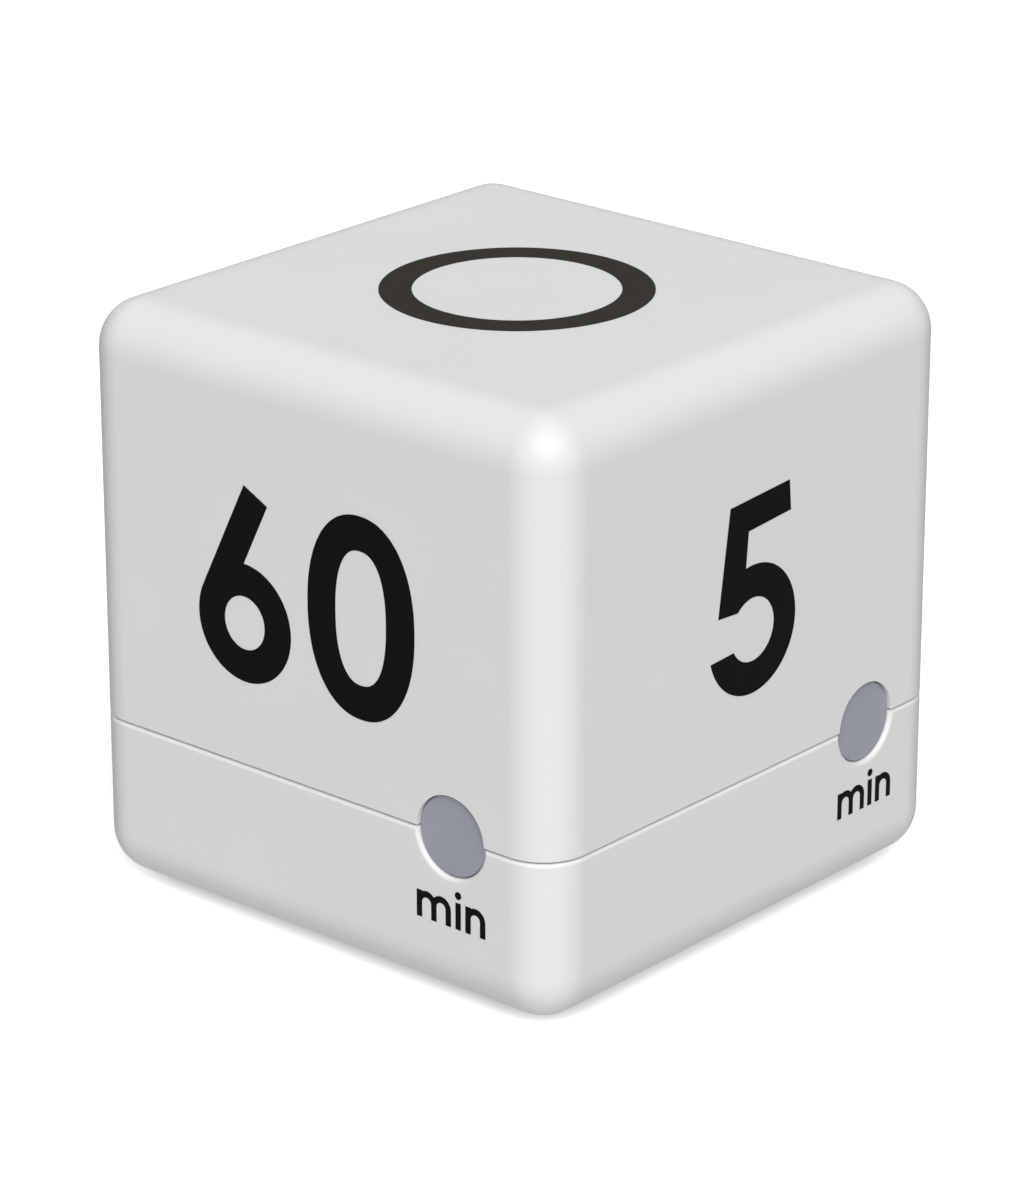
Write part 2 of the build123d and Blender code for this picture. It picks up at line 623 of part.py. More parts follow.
def make_lcd_reflector():
    """Reflecting film behind the rear glass."""
    low = 2.3 + 2 * GLASS_THICK + 0.04
    return slab(LENS_CENTRE, (GLASS_SIZE[0] - 1, GLASS_SIZE[1] - 4.8), (low, low + 0.25), 0.2)


def make_lcd_bezel():
    """Frame that holds the glass under the board, with grooves for the rubber contact strips."""
    x, y = LENS_CENTRE
    top = DISPLAY_BOARD_Z - 0.05
    frame = slab((x, y), (GLASS_SIZE[0] + 1.8, GLASS_SIZE[1] + 1.6), (2.1, top), 0.8)
    frame -= slab((x, y), (GLASS_SIZE[0] + 2 * GAP, GLASS_SIZE[1] + 2 * GAP), (2.25, 9), 0.25)
    return frame - slab((x, y), VIEW_SIZE, (0, 9), 1.0)


def make_zebra_strips():
    """Two rubber strips that connect the glass to the board."""
    x, y = LENS_CENTRE
    offset = GLASS_SIZE[1] / 2 - 0.95
    z = (2.3 + GLASS_THICK + 0.02, DISPLAY_BOARD_Z - 0.02)
    strips = []
    for strip_y in (y - offset, y + offset):
        strips.append(block((x - 17.5, x + 17.5), (strip_y - 0.8, strip_y + 0.8), z))
    return group(strips)


# ---------------------------------------------------------------- power switch
def make_switch_knob():
    """Grip that shows in the slot, on a flange that keeps the slot covered, with a pocket for the lever."""
    x, y = KNOB_X, KNOB_MIDDLE
    grip = slab((x, y), (3.0, KNOB_LENGTH), (0.4, 2.3), 0.5)
    for step in (-2, -1, 0, 1, 2):
        grip -= block((x - 2, x + 2), (y + step - 0.2, y + step + 0.2), (0, 0.75))
    flange_y = (8.4, 18.6)
    flange = block((x - 2.6, x + 2.6), flange_y, (WALL + 0.1, WALL + 0.8))
    pocket = block((x - 1.05, x + 1.05), (y - 1.05, y + 1.05), (1.5, 4))
    return grip + flange - pocket


def make_switch_slider():
    """The switch's own slider, with the lever that the knob pushes."""
    x, y = KNOB_X, KNOB_MIDDLE
    lever = block((x - 1.0, x + 1.0), (y - 1.0, y + 1.0), (1.7, 4.4))
    return lever + block((x - 1.3, x + 1.3), (y - 2.0, y + 2.0), (4.2, 5.4))


def make_switch_frame():
    """Folded metal can of the slide switch, with its three pins through the display board."""
    x, y = KNOB_X, KNOB_MIDDLE + KNOB_TRAVEL / 2
    can = block((x - 1.8, x + 1.8), (y - 4.5, y + 4.5), (3.5, DISPLAY_BOARD_Z - 0.05))
    can -= block((x - 1.45, x + 1.45), (y - 3.6, y + 3.6), (3.85, 5.6))
    can -= block((x - 1.15, x + 1.15), (y - 2.2, y + 2.2), (3, 4))
    return can


# ---------------------------------------------------------------- tilt switches
def tilt_place(x_sign, y_sign):
    """Places a tilt switch: local +Z leans out along the cube's body diagonal from the can's lower end."""
    foot, height = TILT_FOOT
    heading = {(1, 1): 45, (-1, 1): 135, (-1, -1): 225, (1, -1): 315}[(x_sign, y_sign)]
    return Pos(x_sign * foot, y_sign * foot, height) * Rot(0, 0, heading) * Rot(0, TILT_TURN, 0)


def make_tilt_can(x_sign, y_sign):
    """Metal cup, closed at its upper end."""
    can = Pos(0, 0, TILT_CAN_LENGTH / 2) * Cylinder(TILT_CAN_R, TILT_CAN_LENGTH)
    can = fillet(can.edges().filter_by(lambda e: (e @ 0).Z > TILT_CAN_LENGTH - 0.1), 0.5)
    wall = 0.4
    depth = TILT_CAN_LENGTH - wall
    can -= Pos(0, 0, depth / 2 - 0.5) * Cylinder(TILT_CAN_R - wall, depth + 1)
    return tilt_place(x_sign, y_sign) * can


def make_tilt_ball(x_sign, y_sign):
    """Steel ball, resting on the two pins at the can's lower end."""
    return tilt_place(x_sign, y_sign) * Pos(0, 0, TILT_PIN_TOP + 0.12 + TILT_BALL_R) * Sphere(TILT_BALL_R)


def make_tilt_plugs():
    """Insulating plugs that close the cans and carry the pins."""
    plugs = []
    for corner in CORNERS:
        plug = Pos(0, 0, TILT_PLUG_TOP / 2) * Cylinder(TILT_CAN_R - 0.42, TILT_PLUG_TOP)
        for side in (-1, 1):
            plug -= Pos(0, side * 0.9, 0) * Cylinder(0.27, 9)
        plugs.append(tilt_place(*corner) * plug)
    return group(plugs)


def tilt_pin_feet(x_sign, y_sign):
    """Where a tilt switch's two pins pass through the main board."""
    place = tilt_place(x_sign, y_sign)
    reach = (TILT_FOOT[1] - BOARD_TOP - 0.9) * sqrt(3)
    feet = [(place * Pos(0, side * 0.9, -reach)).position for side in (-1, 1)]
    return [(foot.X, foot.Y) for foot in feet]


def make_tilt_pins():
    """Two pins for each switch: straight out of the plug, then down through the board."""
    pins = []
    reach = (TILT_FOOT[1] - BOARD_TOP - 0.9) * sqrt(3)
    for corner in CORNERS:
        place = tilt_place(*corner)
        for side, (foot_x, foot_y) in zip((-1, 1), tilt_pin_feet(*corner)):
            length = TILT_PIN_TOP + reach
            upper = place * Pos(0, side * 0.9, (TILT_PIN_TOP - reach) / 2) * Cylinder(0.22, length)
            knee = Pos(foot_x, foot_y, BOARD_TOP + 0.9) * Sphere(0.22)
            lower = post(foot_x, foot_y, (MAIN_BOARD_Z - LEAD_STUB, BOARD_TOP + 0.9), 0.22)
            pins.append(upper + knee + lower)
    return group(pins)


def make_tilt_cradle():
    """Moulded block on the main board that holds the four cans at their angle."""
    half, low, high = 11.0, BOARD_TOP + 0.05, BOARD_TOP + 6.0
    block_form = block((-half, half), (-half, half), (low, high))
    block_form = chamfer(block_form.edges().filter_by(Axis.Z), 2.0)
    for corner in CORNERS:
        bore = Pos(0, 0, 5.98) * Cylinder(TILT_CAN_R + 0.05, 12) + Pos(0, 0, -3) * Cylinder(1.4, 6.2)
        block_form -= tilt_place(*corner) * bore
        for foot_x, foot_y in tilt_pin_feet(*corner):
            block_form -= post(foot_x, foot_y, (low - 1, BOARD_TOP + 1.4), 0.5)
    # the middle is hollow, which leaves room for the pins
    hollow = post(0, 0, (BOARD_TOP + 0.8, high + 1), 6.4)
    return block_form - hollow


# ---------------------------------------------------------------- fasteners
def pan_screw(x, y, seat_z, length, shank_r, head_r, head_height, points_up):
    """Cross-recessed screw whose head bears on seat_z."""
    sign = 1 if points_up else -1
    shank = post(x, y, tuple(sorted((seat_z - sign * 0.1, seat_z + sign * length))), shank_r)
    tip = seat_z + sign * length
    shank = chamfer(shank.edges().filter_by(lambda e: abs((e @ 0).Z - tip) < 0.01), shank_r * 0.6)
    far = seat_z - sign * head_height
    head = post(x, y, tuple(sorted((far, seat_z))), head_r)
    head = fillet(head.edges().filter_by(lambda e: abs((e @ 0).Z - far) < 0.01), head_height * 0.45)
    screw = shank + head
    depth = head_height * 0.6
    recess_z = tuple(sorted((far - sign, far + sign * depth)))
    arm, half = head_r * 0.55, head_r * 0.13
    screw -= block((x - arm, x + arm), (y - half, y + half), recess_z)
    return screw - block((x - half, x + half), (y - arm, y + arm), recess_z)


def make_shell_screws():
    spots = [(x * SCREW_XY, y * SCREW_XY) for x, y in CORNERS]
    return group([pan_screw(x, y, 7.98, 16.0, 1.1, 1.95, 1.5, True) for x, y in spots])


def make_main_board_screws():
    return group([pan_screw(x, y, BOARD_TOP + 0.02, 4.2, 0.8, 1.6, 1.1, False) for x, y in MAIN_BOARD_SCREWS])


def make_display_board_screws():
    seat_z = DISPLAY_BOARD_TOP + 0.02
    return group([pan_screw(x, y, seat_z, 4.4, 0.7, 1.4, 1.0, False) for x, y in DISPLAY_STANDOFFS])


# ---------------------------------------------------------------- all nodes
def build_nodes():
    """Every separate piece of the timer, by node name."""
    nodes = {
        "upper_shell": make_upper_shell(),
        "lower_shell": make_lower_shell(),
        "display_lens": make_display_lens(),
        "battery_door": make_battery_door(),
        "door_foam_strips": make_door_foam(),
        "contact_positive": make_contact_positive(),
        "contact_negative": make_contact_negative(),
        "contact_bridge": make_contact_bridge(),
        "spring_bridge": make_contact_spring(-1, CELL_Y[0]),
        "spring_negative": make_contact_spring(1, CELL_Y[1]),
        "main_board": make_main_board(),
        "display_board": make_display_board(),
        "link_header": make_link_header(),
        "link_pins": make_link_pins(),
        "chip_blob": make_chip_blob(),
        "crystal_can": make_crystal_can(),
        "electrolytic_capacitor": make_capacitor(),
        "chip_components": make_chip_components(),
        "transistors": make_transistors(),
        "led_leads": make_led_leads(),
        "buzzer_case": make_buzzer_case(),
        "buzzer_base": make_buzzer_base(),
        "buzzer_magnet": make_buzzer_magnet(),
        "buzzer_coil": make_buzzer_coil(),
        "buzzer_diaphragm": make_buzzer_diaphragm(),
        "lcd_front_glass": make_lcd_glass(front=True),
        "lcd_rear_glass": make_lcd_glass(front=False),
        "lcd_reflector": make_lcd_reflector(),
        "lcd_bezel": make_lcd_bezel(),
        "zebra_strips": make_zebra_strips(),
        "switch_knob": make_switch_knob(),
        "switch_slider": make_switch_slider(),
        "switch_frame": make_switch_frame(),
        "tilt_cradle": make_tilt_cradle(),
        "tilt_plugs": make_tilt_plugs(),
        "tilt_pins": make_tilt_pins(),
        "shell_screws": make_shell_screws(),
        "main_board_screws": make_main_board_screws(),
        "display_board_screws": make_display_board_screws(),
    }
    for turn, minutes in enumerate(TIMES):
        nodes[f"led_window_{minutes}"] = make_window(turn)
        nodes[f"led_lamp_{minutes}"] = make_led_lamp(turn)
    for index in (0, 1):
        nodes[f"cell_{index + 1}_can"] = make_cell_can(index)
        nodes[f"cell_{index + 1}_jacket"] = make_cell_jacket(index)
    for index, corner in enumerate(CORNERS):
        nodes[f"tilt_can_{index + 1}"] = make_tilt_can(*corner)
        nodes[f"tilt_ball_{index + 1}"] = make_tilt_ball(*corner)
    return nodes


os.makedirs("parts", exist_ok=True)
for name, shape in build_nodes().items():
    export_step(shape, f"parts/{name}.step")
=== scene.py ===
"""Looks of a cube kitchen timer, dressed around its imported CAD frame.

The frame gives every moulded, turned and soldered part at its place. This script gives each of them the
finish of its real material, and adds what is printed or displayed: the numbers, the ring, the unit word, the
display's segments, the mask behind its pane, the words beside the power switch, the arrow on the battery
door, the marks on the cells and the outlines on the main board.
"""

from __future__ import annotations

import json
import logging
import math
from collections.abc import Iterable
from dataclasses import dataclass, field, replace
from enum import Enum

import bpy
from mathutils import Matrix, Vector

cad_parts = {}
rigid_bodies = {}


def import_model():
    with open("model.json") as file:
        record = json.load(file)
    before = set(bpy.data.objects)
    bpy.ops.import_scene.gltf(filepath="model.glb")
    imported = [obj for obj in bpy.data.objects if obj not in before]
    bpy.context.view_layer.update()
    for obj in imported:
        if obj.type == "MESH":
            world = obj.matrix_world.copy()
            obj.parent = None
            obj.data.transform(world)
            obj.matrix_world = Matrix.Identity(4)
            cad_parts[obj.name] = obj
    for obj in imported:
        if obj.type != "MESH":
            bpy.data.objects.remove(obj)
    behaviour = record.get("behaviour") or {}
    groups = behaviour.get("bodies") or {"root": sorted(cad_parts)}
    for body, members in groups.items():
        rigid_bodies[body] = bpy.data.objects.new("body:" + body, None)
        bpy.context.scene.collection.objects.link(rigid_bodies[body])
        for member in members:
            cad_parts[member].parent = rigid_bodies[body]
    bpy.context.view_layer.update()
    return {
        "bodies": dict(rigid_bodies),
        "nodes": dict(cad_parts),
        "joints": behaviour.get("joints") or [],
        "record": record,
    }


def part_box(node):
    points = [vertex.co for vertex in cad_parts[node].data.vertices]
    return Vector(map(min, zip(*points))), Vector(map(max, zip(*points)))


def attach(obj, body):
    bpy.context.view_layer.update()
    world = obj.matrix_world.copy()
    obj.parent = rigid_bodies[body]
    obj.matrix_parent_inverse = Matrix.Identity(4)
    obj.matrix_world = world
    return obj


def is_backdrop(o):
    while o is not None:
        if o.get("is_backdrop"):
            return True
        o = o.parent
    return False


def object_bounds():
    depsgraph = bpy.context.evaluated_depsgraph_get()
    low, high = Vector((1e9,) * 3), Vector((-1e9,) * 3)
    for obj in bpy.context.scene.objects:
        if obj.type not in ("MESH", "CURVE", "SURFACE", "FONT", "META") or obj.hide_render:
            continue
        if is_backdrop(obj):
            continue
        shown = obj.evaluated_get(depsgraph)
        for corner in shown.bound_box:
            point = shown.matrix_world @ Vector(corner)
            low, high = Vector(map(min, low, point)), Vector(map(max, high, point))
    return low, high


log = logging.getLogger("cube_timer")

MM = 0.001
INK_THICK = 0.03 * MM  # a printed film, drawn a little thicker than it is so that it clears the plastic
SAME_POINT = 0.001  # two points of an outline this near are one, in millimetres
MERGE = 1e-7  # two points of a mesh this near are one, in metres
SMOOTH_ANGLE = math.radians(30)
NOISE_ROUGHNESS = 0.55  # how strong a noise's finer octaves are
WEAR_SHARE = 0.6  # size of the patches of roughness, as a share of the patches of colour
SCATTER = 0.8 * MM  # how far light spreads inside milky plastic
READ_BELOW = ((1, 0, 0), (0, -1, 0))  # right and up of a reader who looks underneath from the 60 face's side

Point = tuple[float, float]
Loop = list[Point]
Tree = bpy.types.NodeTree
Socket = bpy.types.NodeSocket


# ---------------------------------------------------------------- small helpers
def rgba(code: str, alpha: float = 1.0) -> tuple[float, float, float, float]:
    """Turns an sRGB hex colour to linear.

    Args:
        code: six hex digits, with or without a leading #.
        alpha: the fourth value.

    Returns:
        Linear red, green, blue and alpha.
    """
    digits = code.lstrip("#")
    channels = [int(digits[i : i + 2], 16) / 255 for i in (0, 2, 4)]
    linear = [c / 12.92 if c <= 0.04045 else ((c + 0.055) / 1.055) ** 2.4 for c in channels]
    return (*linear, alpha)


def per_metre(size_mm: float) -> float:
    """Texture scale of a pattern whose features are size_mm across."""
    return 1000.0 / size_mm


def direction(azimuth: float, elevation: float) -> Vector:
    """The way from the object to a place at that azimuth and elevation, in degrees."""
    a, e = math.radians(azimuth), math.radians(elevation)
    return Vector((math.sin(a) * math.cos(e), -math.cos(a) * math.cos(e), math.sin(e)))


def deselect() -> None:
    """Leaves nothing selected."""
    bpy.ops.object.select_all(action="DESELECT")


def add_node(
    tree: Tree,
    kind: str,
    settings: dict | None = None,
    values: dict | None = None,
    links: dict | None = None,
) -> bpy.types.Node:
    """Adds one node to a tree.

    Args:
        tree: the node tree.
        kind: the node's class name.
        settings: attributes of the node.
        values: input socket to its value.
        links: input socket to the output socket that feeds it.

    Returns:
        The node.
    """
    node = tree.nodes.new(kind)
    for name, value in (settings or {}).items():
        setattr(node, name, value)
    for socket, value in (values or {}).items():
        node.inputs[socket].default_value = value
    for socket, source in (links or {}).items():
        tree.links.new(source, node.inputs[socket])
    return node


# ---------------------------------------------------------------- outlines
def arc(centre: Point, radii: Point, start: float, end: float, steps: int = 32, power: float = 2.0) -> Loop:
    """Points along an arc of an ellipse, or of a superellipse.

    Args:
        centre: the arc's centre.
        radii: half width and half height.
        start: first angle, in degrees.
        end: last angle, in degrees.
        steps: number of steps.
        power: 2 for an ellipse, more for a squarer curve.

    Returns:
        The points, both ends included.
    """
    points: Loop = []
    for step in range(steps + 1):
        angle = math.radians(start + (end - start) * step / steps)
        cos, sin = math.cos(angle), math.sin(angle)
        x = math.copysign(abs(cos) ** (2 / power), cos)
        y = math.copysign(abs(sin) ** (2 / power), sin)
        points.append((centre[0] + radii[0] * x, centre[1] + radii[1] * y))
    return points


def closed_arc(centre: Point, radii: Point, steps: int = 96, power: float = 2.0) -> Loop:
    """A whole ellipse or superellipse, without its first point repeated."""
    return arc(centre, radii, 0, 360, steps, power)[:-1]


def rounded_box(centre: Point, size: Point, radius: float) -> Loop:
    """A rectangle with round corners, anticlockwise.

    Args:
        centre: its centre.
        size: its width and height.
        radius: radius of its corners.

    Returns:
        The points, with both ends of each corner's arc.
    """
    half_x, half_y = size[0] / 2 - radius, size[1] / 2 - radius
    points: Loop = []
    for turn, (sx, sy) in enumerate(((1, 1), (-1, 1), (-1, -1), (1, -1))):
        corner = (centre[0] + sx * half_x, centre[1] + sy * half_y)
        points += arc(corner, (radius, radius), 90 * turn, 90 * turn + 90, steps=8)
    return points


@dataclass(frozen=True)
class Numerals:
    """Outlines of the timer's numbers, each standing on a base line at 0 with its left edge at 0.

    The face is a condensed geometric one: even strokes, round bowls, slanted stems and an oval nought. Sizes
    are in millimetres, and angles in degrees, anticlockwise from the reader's right.
    """

    height: float = 21.6
    stroke: float = 3.6
    spacing: float = 2.4  # between two digits
    nought_half: Point = (7.22, 10.87)
    nought_hole: Point = (3.42, 7.17)
    nought_base: float = 0.15  # how far it stands above the base line
    six_radius: float = 6.46
    six_hole: Point = (2.8, 2.9)
    six_stem: float = 13.5
    six_slant: float = 63.5
    five_radius: float = 6.98
    five_hole: float = 3.45
    five_middle: float = 6.78
    five_joint: float = -1.25  # where the stem meets the bowl, from the bowl's middle
    five_ends: Point = (-164.0, -150.5)  # angles where the bowl and its counter stop
    five_counter_start: float = 135.0
    five_bar: tuple[Point, ...] = ((2.9, 20.97), (12.42, 21.56), (12.72, 18.27), (5.89, 17.77))
    five_foot: Point = (1.2, 9.6)
    five_width: float = 13.74
    one_left: float = 3.2
    one_right: float = 6.9
    one_flag: tuple[float, float, float] = (3.6, 7.2, 4.9)  # its top, its bottom and its root, below the top
    one_shoulder: float = 1.1
    three_radius: float = 6.75  # the lower bowl's
    three_waist: float = 3.3
    three_bar: float = 1.9
    three_low_ends: Point = (-164.0, -156.0)  # angles where the lower bowl and its counter stop
    three_high_ends: Point = (158.0, 150.0)

    def nought(self) -> tuple[float, list[Loop]]:
        """The oval 0.

        Returns:
            Its width and its loops.
        """
        half_x, half_y = self.nought_half
        centre = (half_x, half_y + self.nought_base)
        return 2 * half_x, [
            closed_arc(centre, self.nought_half, power=2.2),
            closed_arc(centre, self.nought_hole, power=2.35),
        ]

    def six(self) -> tuple[float, list[Loop]]:
        """The 6: a ring, and a stem that leaves it along its left tangent.

        Returns:
            Its width and its loops.
        """
        radius = self.six_radius
        centre = Vector((radius, radius))
        along = Vector((math.cos(math.radians(self.six_slant)), math.sin(math.radians(self.six_slant))))
        across = Vector((-along.y, along.x))
        top_left = centre + across * radius + along * self.six_stem
        top_right = top_left - across * self.stroke
        inner = radius - self.stroke
        joint = across * inner + along * math.sqrt(radius**2 - inner**2)
        joint_angle = math.degrees(math.atan2(joint.y, joint.x))
        bowl = arc(tuple(centre), (radius, radius), joint_angle, self.six_slant + 90 - 360, steps=72)
        body = [tuple(top_left), tuple(top_right), *bowl]
        return 2 * radius, [body, closed_arc(tuple(centre), self.six_hole)]

    def five(self) -> tuple[float, list[Loop]]:
        """The 5: a tilted bar, a slanted stem and an open bowl.

        Returns:
            Its width and its loops.
        """
        radius, hole = self.five_radius, self.five_hole
        centre = (self.five_middle, radius)
        start = math.degrees(math.acos(self.five_joint / radius))
        bowl = arc(centre, (radius, radius), start, self.five_ends[0], steps=60)
        counter = arc(centre, (hole, hole), self.five_ends[1], self.five_counter_start, steps=44)
        return self.five_width, [[*self.five_bar, *bowl, *counter, self.five_foot]]

    def one(self) -> tuple[float, list[Loop]]:
        """The 1: a stem with a straight flag.

        Returns:
            Its width and its loops.
        """
        left, right, top = self.one_left, self.one_right, self.height
        flag_top, flag_low, root = (top - drop for drop in self.one_flag)
        stem = [(left, 0), (right, 0), (right, top), (left + self.one_shoulder, top)]
        return right, [[*stem, (0, flag_top), (0, flag_low), (left, root)]]

    def three(self) -> tuple[float, list[Loop]]:
        """The 3: two bowls that meet at a short waist.

        Returns:
            Its width and its loops.
        """
        low, stroke = self.three_radius, self.stroke
        high = self.height / 2 + stroke - self.three_waist / 2 - low
        centre_low, centre_high = (low, low), (low, self.height - high)
        gap = centre_high[1] - centre_low[1]
        rise = (gap**2 + low**2 - high**2) / (2 * gap)
        reach = math.sqrt(low**2 - rise**2)
        low_joint = math.degrees(math.atan2(rise, reach))
        high_joint = math.degrees(math.atan2(rise - gap, reach))
        bar_left = low - self.three_bar
        loop = arc(centre_high, (high, high), self.three_high_ends[0], high_joint, steps=48)
        loop += arc(centre_low, (low, low), low_joint, self.three_low_ends[0], steps=56)
        loop += arc(centre_low, (low - stroke,) * 2, self.three_low_ends[1], 90, steps=48)
        loop += [(bar_left, centre_low[1] + low - stroke), (bar_left, centre_high[1] - high + stroke)]
        loop += arc(centre_high, (high - stroke,) * 2, -90, self.three_high_ends[1], steps=40)
        return 2 * low, [loop]

    def number(self, text: str) -> tuple[float, list[Loop]]:
        """Sets a whole number.

        Args:
            text: its digits, from 0, 1, 3, 5 and 6.

        Returns:
            The number's width and its loops.
        """
        makers = {"0": self.nought, "1": self.one, "3": self.three, "5": self.five, "6": self.six}
        x, loops = 0.0, []
        for digit in text:
            width, outlines = makers[digit]()
            loops += [[(px + x, py) for px, py in loop] for loop in outlines]
            x += width + self.spacing
        return x - self.spacing, loops


@dataclass(frozen=True)
class UnitWord:
    """Outlines of the small word under each window, in millimetres, from its left end and its base line."""

    stem: float = 0.70
    height: float = 2.98
    arch: float = 0.62  # inner radius of one arch
    spacing: float = 0.62  # between two letters
    serif_drop: float = 0.06  # how far a stem's top lies below its arch's
    dotless_height: float = 2.92
    dot_middle: float = 3.72
    dot_radius: float = 0.42

    def arches(self, count: int, x: float) -> tuple[float, Loop]:
        """A letter of one stem and some arches: n has one, m has two.

        Args:
            count: number of arches.
            x: left edge of the letter.

        Returns:
            The letter's right edge, and its loop.
        """
        stem, inner = self.stem, self.arch
        outer = inner + stem
        spring = self.height - outer  # height where the arches' curves begin
        valley = math.degrees(math.acos((inner + stem / 2) / outer))
        top = self.height - self.serif_drop
        loop: Loop = [(x + stem, 0), (x, 0), (x, top), (x + stem, top)]
        for index in range(count):
            middle = x + stem + inner + index * (2 * inner + stem)
            start = math.degrees(math.acos(-inner / outer)) if index == 0 else 180 - valley
            end = 0 if index == count - 1 else valley
            loop += arc((middle, spring), (outer, outer), start, end, steps=14)
        for index in reversed(range(count)):
            middle = x + stem + inner + index * (2 * inner + stem)
            right = middle + inner
            loop += [(right + stem, 0), (right, 0)] + arc((middle, spring), (inner, inner), 0, 180, steps=14)
        return x + stem + count * (2 * inner + stem), loop

    def loops(self) -> tuple[float, list[Loop]]:
        """The whole word.

        Returns:
            Its width and all its loops.
        """
        half = self.stem / 2
        right, letter_m = self.arches(2, 0)
        dot_x = right + self.spacing + half
        left, right = dot_x - half, dot_x + half
        letter_i = [(left, 0), (right, 0), (right, self.dotless_height), (left, self.dotless_height)]
        dot = closed_arc((dot_x, self.dot_middle), (self.dot_radius,) * 2, steps=24)
        right, letter_n = self.arches(1, right + self.spacing)
        return right, [letter_m, letter_i, dot, letter_n]


class SegmentBar(Enum):
    """The seven bars of one digit: each bar's middle, in steps from the digit's middle, and its turn."""

    TOP = (0, 2, 0)
    MIDDLE = (0, 0, 0)
    BOTTOM = (0, -2, 0)
    UPPER_LEFT = (-1, 1, 90)
    UPPER_RIGHT = (1, 1, 90)
    LOWER_LEFT = (-1, -1, 90)
    LOWER_RIGHT = (1, -1, 90)


# ---------------------------------------------------------------- mesh work
class FlatPiece:
    """A thin plate cut to an outline, such as a film of ink or a display segment."""

    def __init__(self, name: str, loops: Iterable[Loop], thick: float) -> None:
        """Cuts the plate.

        Args:
            name: the piece's name.
            loops: closed outlines in millimetres; a loop inside another is a hole.
            thick: thickness in metres. The plate's back lies at z = 0 and its front at z = thick.
        """
        deselect()
        parts = [self._ring(list(loop)) for loop in loops]
        for part in parts:
            part.select_set(True)
        bpy.context.view_layer.objects.active = parts[0]
        if len(parts) > 1:
            bpy.ops.object.join()
        self.object = parts[0]
        self.object.name = self.object.data.name = name
        bpy.ops.object.mode_set(mode="EDIT")
        bpy.ops.mesh.select_mode(type="EDGE")
        bpy.ops.mesh.select_all(action="SELECT")
        bpy.ops.mesh.fill(use_beauty=True)
        bpy.ops.mesh.select_all(action="SELECT")
        bpy.ops.mesh.normals_make_consistent(inside=False)
        bpy.ops.mesh.extrude_region_move(TRANSFORM_OT_translate={"value": (0, 0, thick)})
        bpy.ops.mesh.select_all(action="SELECT")
        bpy.ops.mesh.remove_doubles(threshold=MERGE)
        bpy.ops.mesh.normals_make_consistent(inside=False)
        bpy.ops.object.mode_set(mode="OBJECT")

    @staticmethod
    def _ring(points: Loop) -> bpy.types.Object:
        """One loop of edges: a circle primitive whose points are moved onto the outline.

        Args:
            points: the outline; a point that repeats the one before it is left out.

        Returns:
            The loop's object.
        """
        points = [p for i, p in enumerate(points) if math.dist(p, points[i - 1]) > SAME_POINT]
        bpy.ops.mesh.primitive_circle_add(vertices=len(points), radius=MM, fill_type="NOTHING")
        ring = bpy.context.object
        for vertex, (x, y) in zip(ring.data.vertices, points):
            vertex.co = (x * MM, y * MM, 0)
        ring.select_set(False)
        return ring

    def place(self, matrix: Matrix) -> bpy.types.Object:
        """Puts the plate's mesh where it belongs.

        Args:
            matrix: from the plate's own plane to the row frame.

        Returns:
            The plate's object, which itself stays at the origin.
        """
        self.object.data.transform(matrix)
        self.object.data.update()
        deselect()
        self.object.select_set(True)
        bpy.context.view_layer.objects.active = self.object
        bpy.ops.object.shade_smooth_by_angle(angle=SMOOTH_ANGLE)
        deselect()
        return self.object


def plane_matrix(origin: Iterable[float], right: Iterable[float], up: Iterable[float]) -> Matrix:
    """The placing of a plate that is read from in front.

    Args:
        origin: where the plate's own origin goes, in metres.
        right: the reader's right.
        up: the reader's up.

    Returns:
        The matrix; the plate's front faces the reader.
    """
    x_axis, y_axis = Vector(right), Vector(up)
    z_axis = x_axis.cross(y_axis)
    matrix = Matrix((x_axis, y_axis, z_axis)).transposed().to_4x4()
    matrix.translation = Vector(origin)
    return matrix


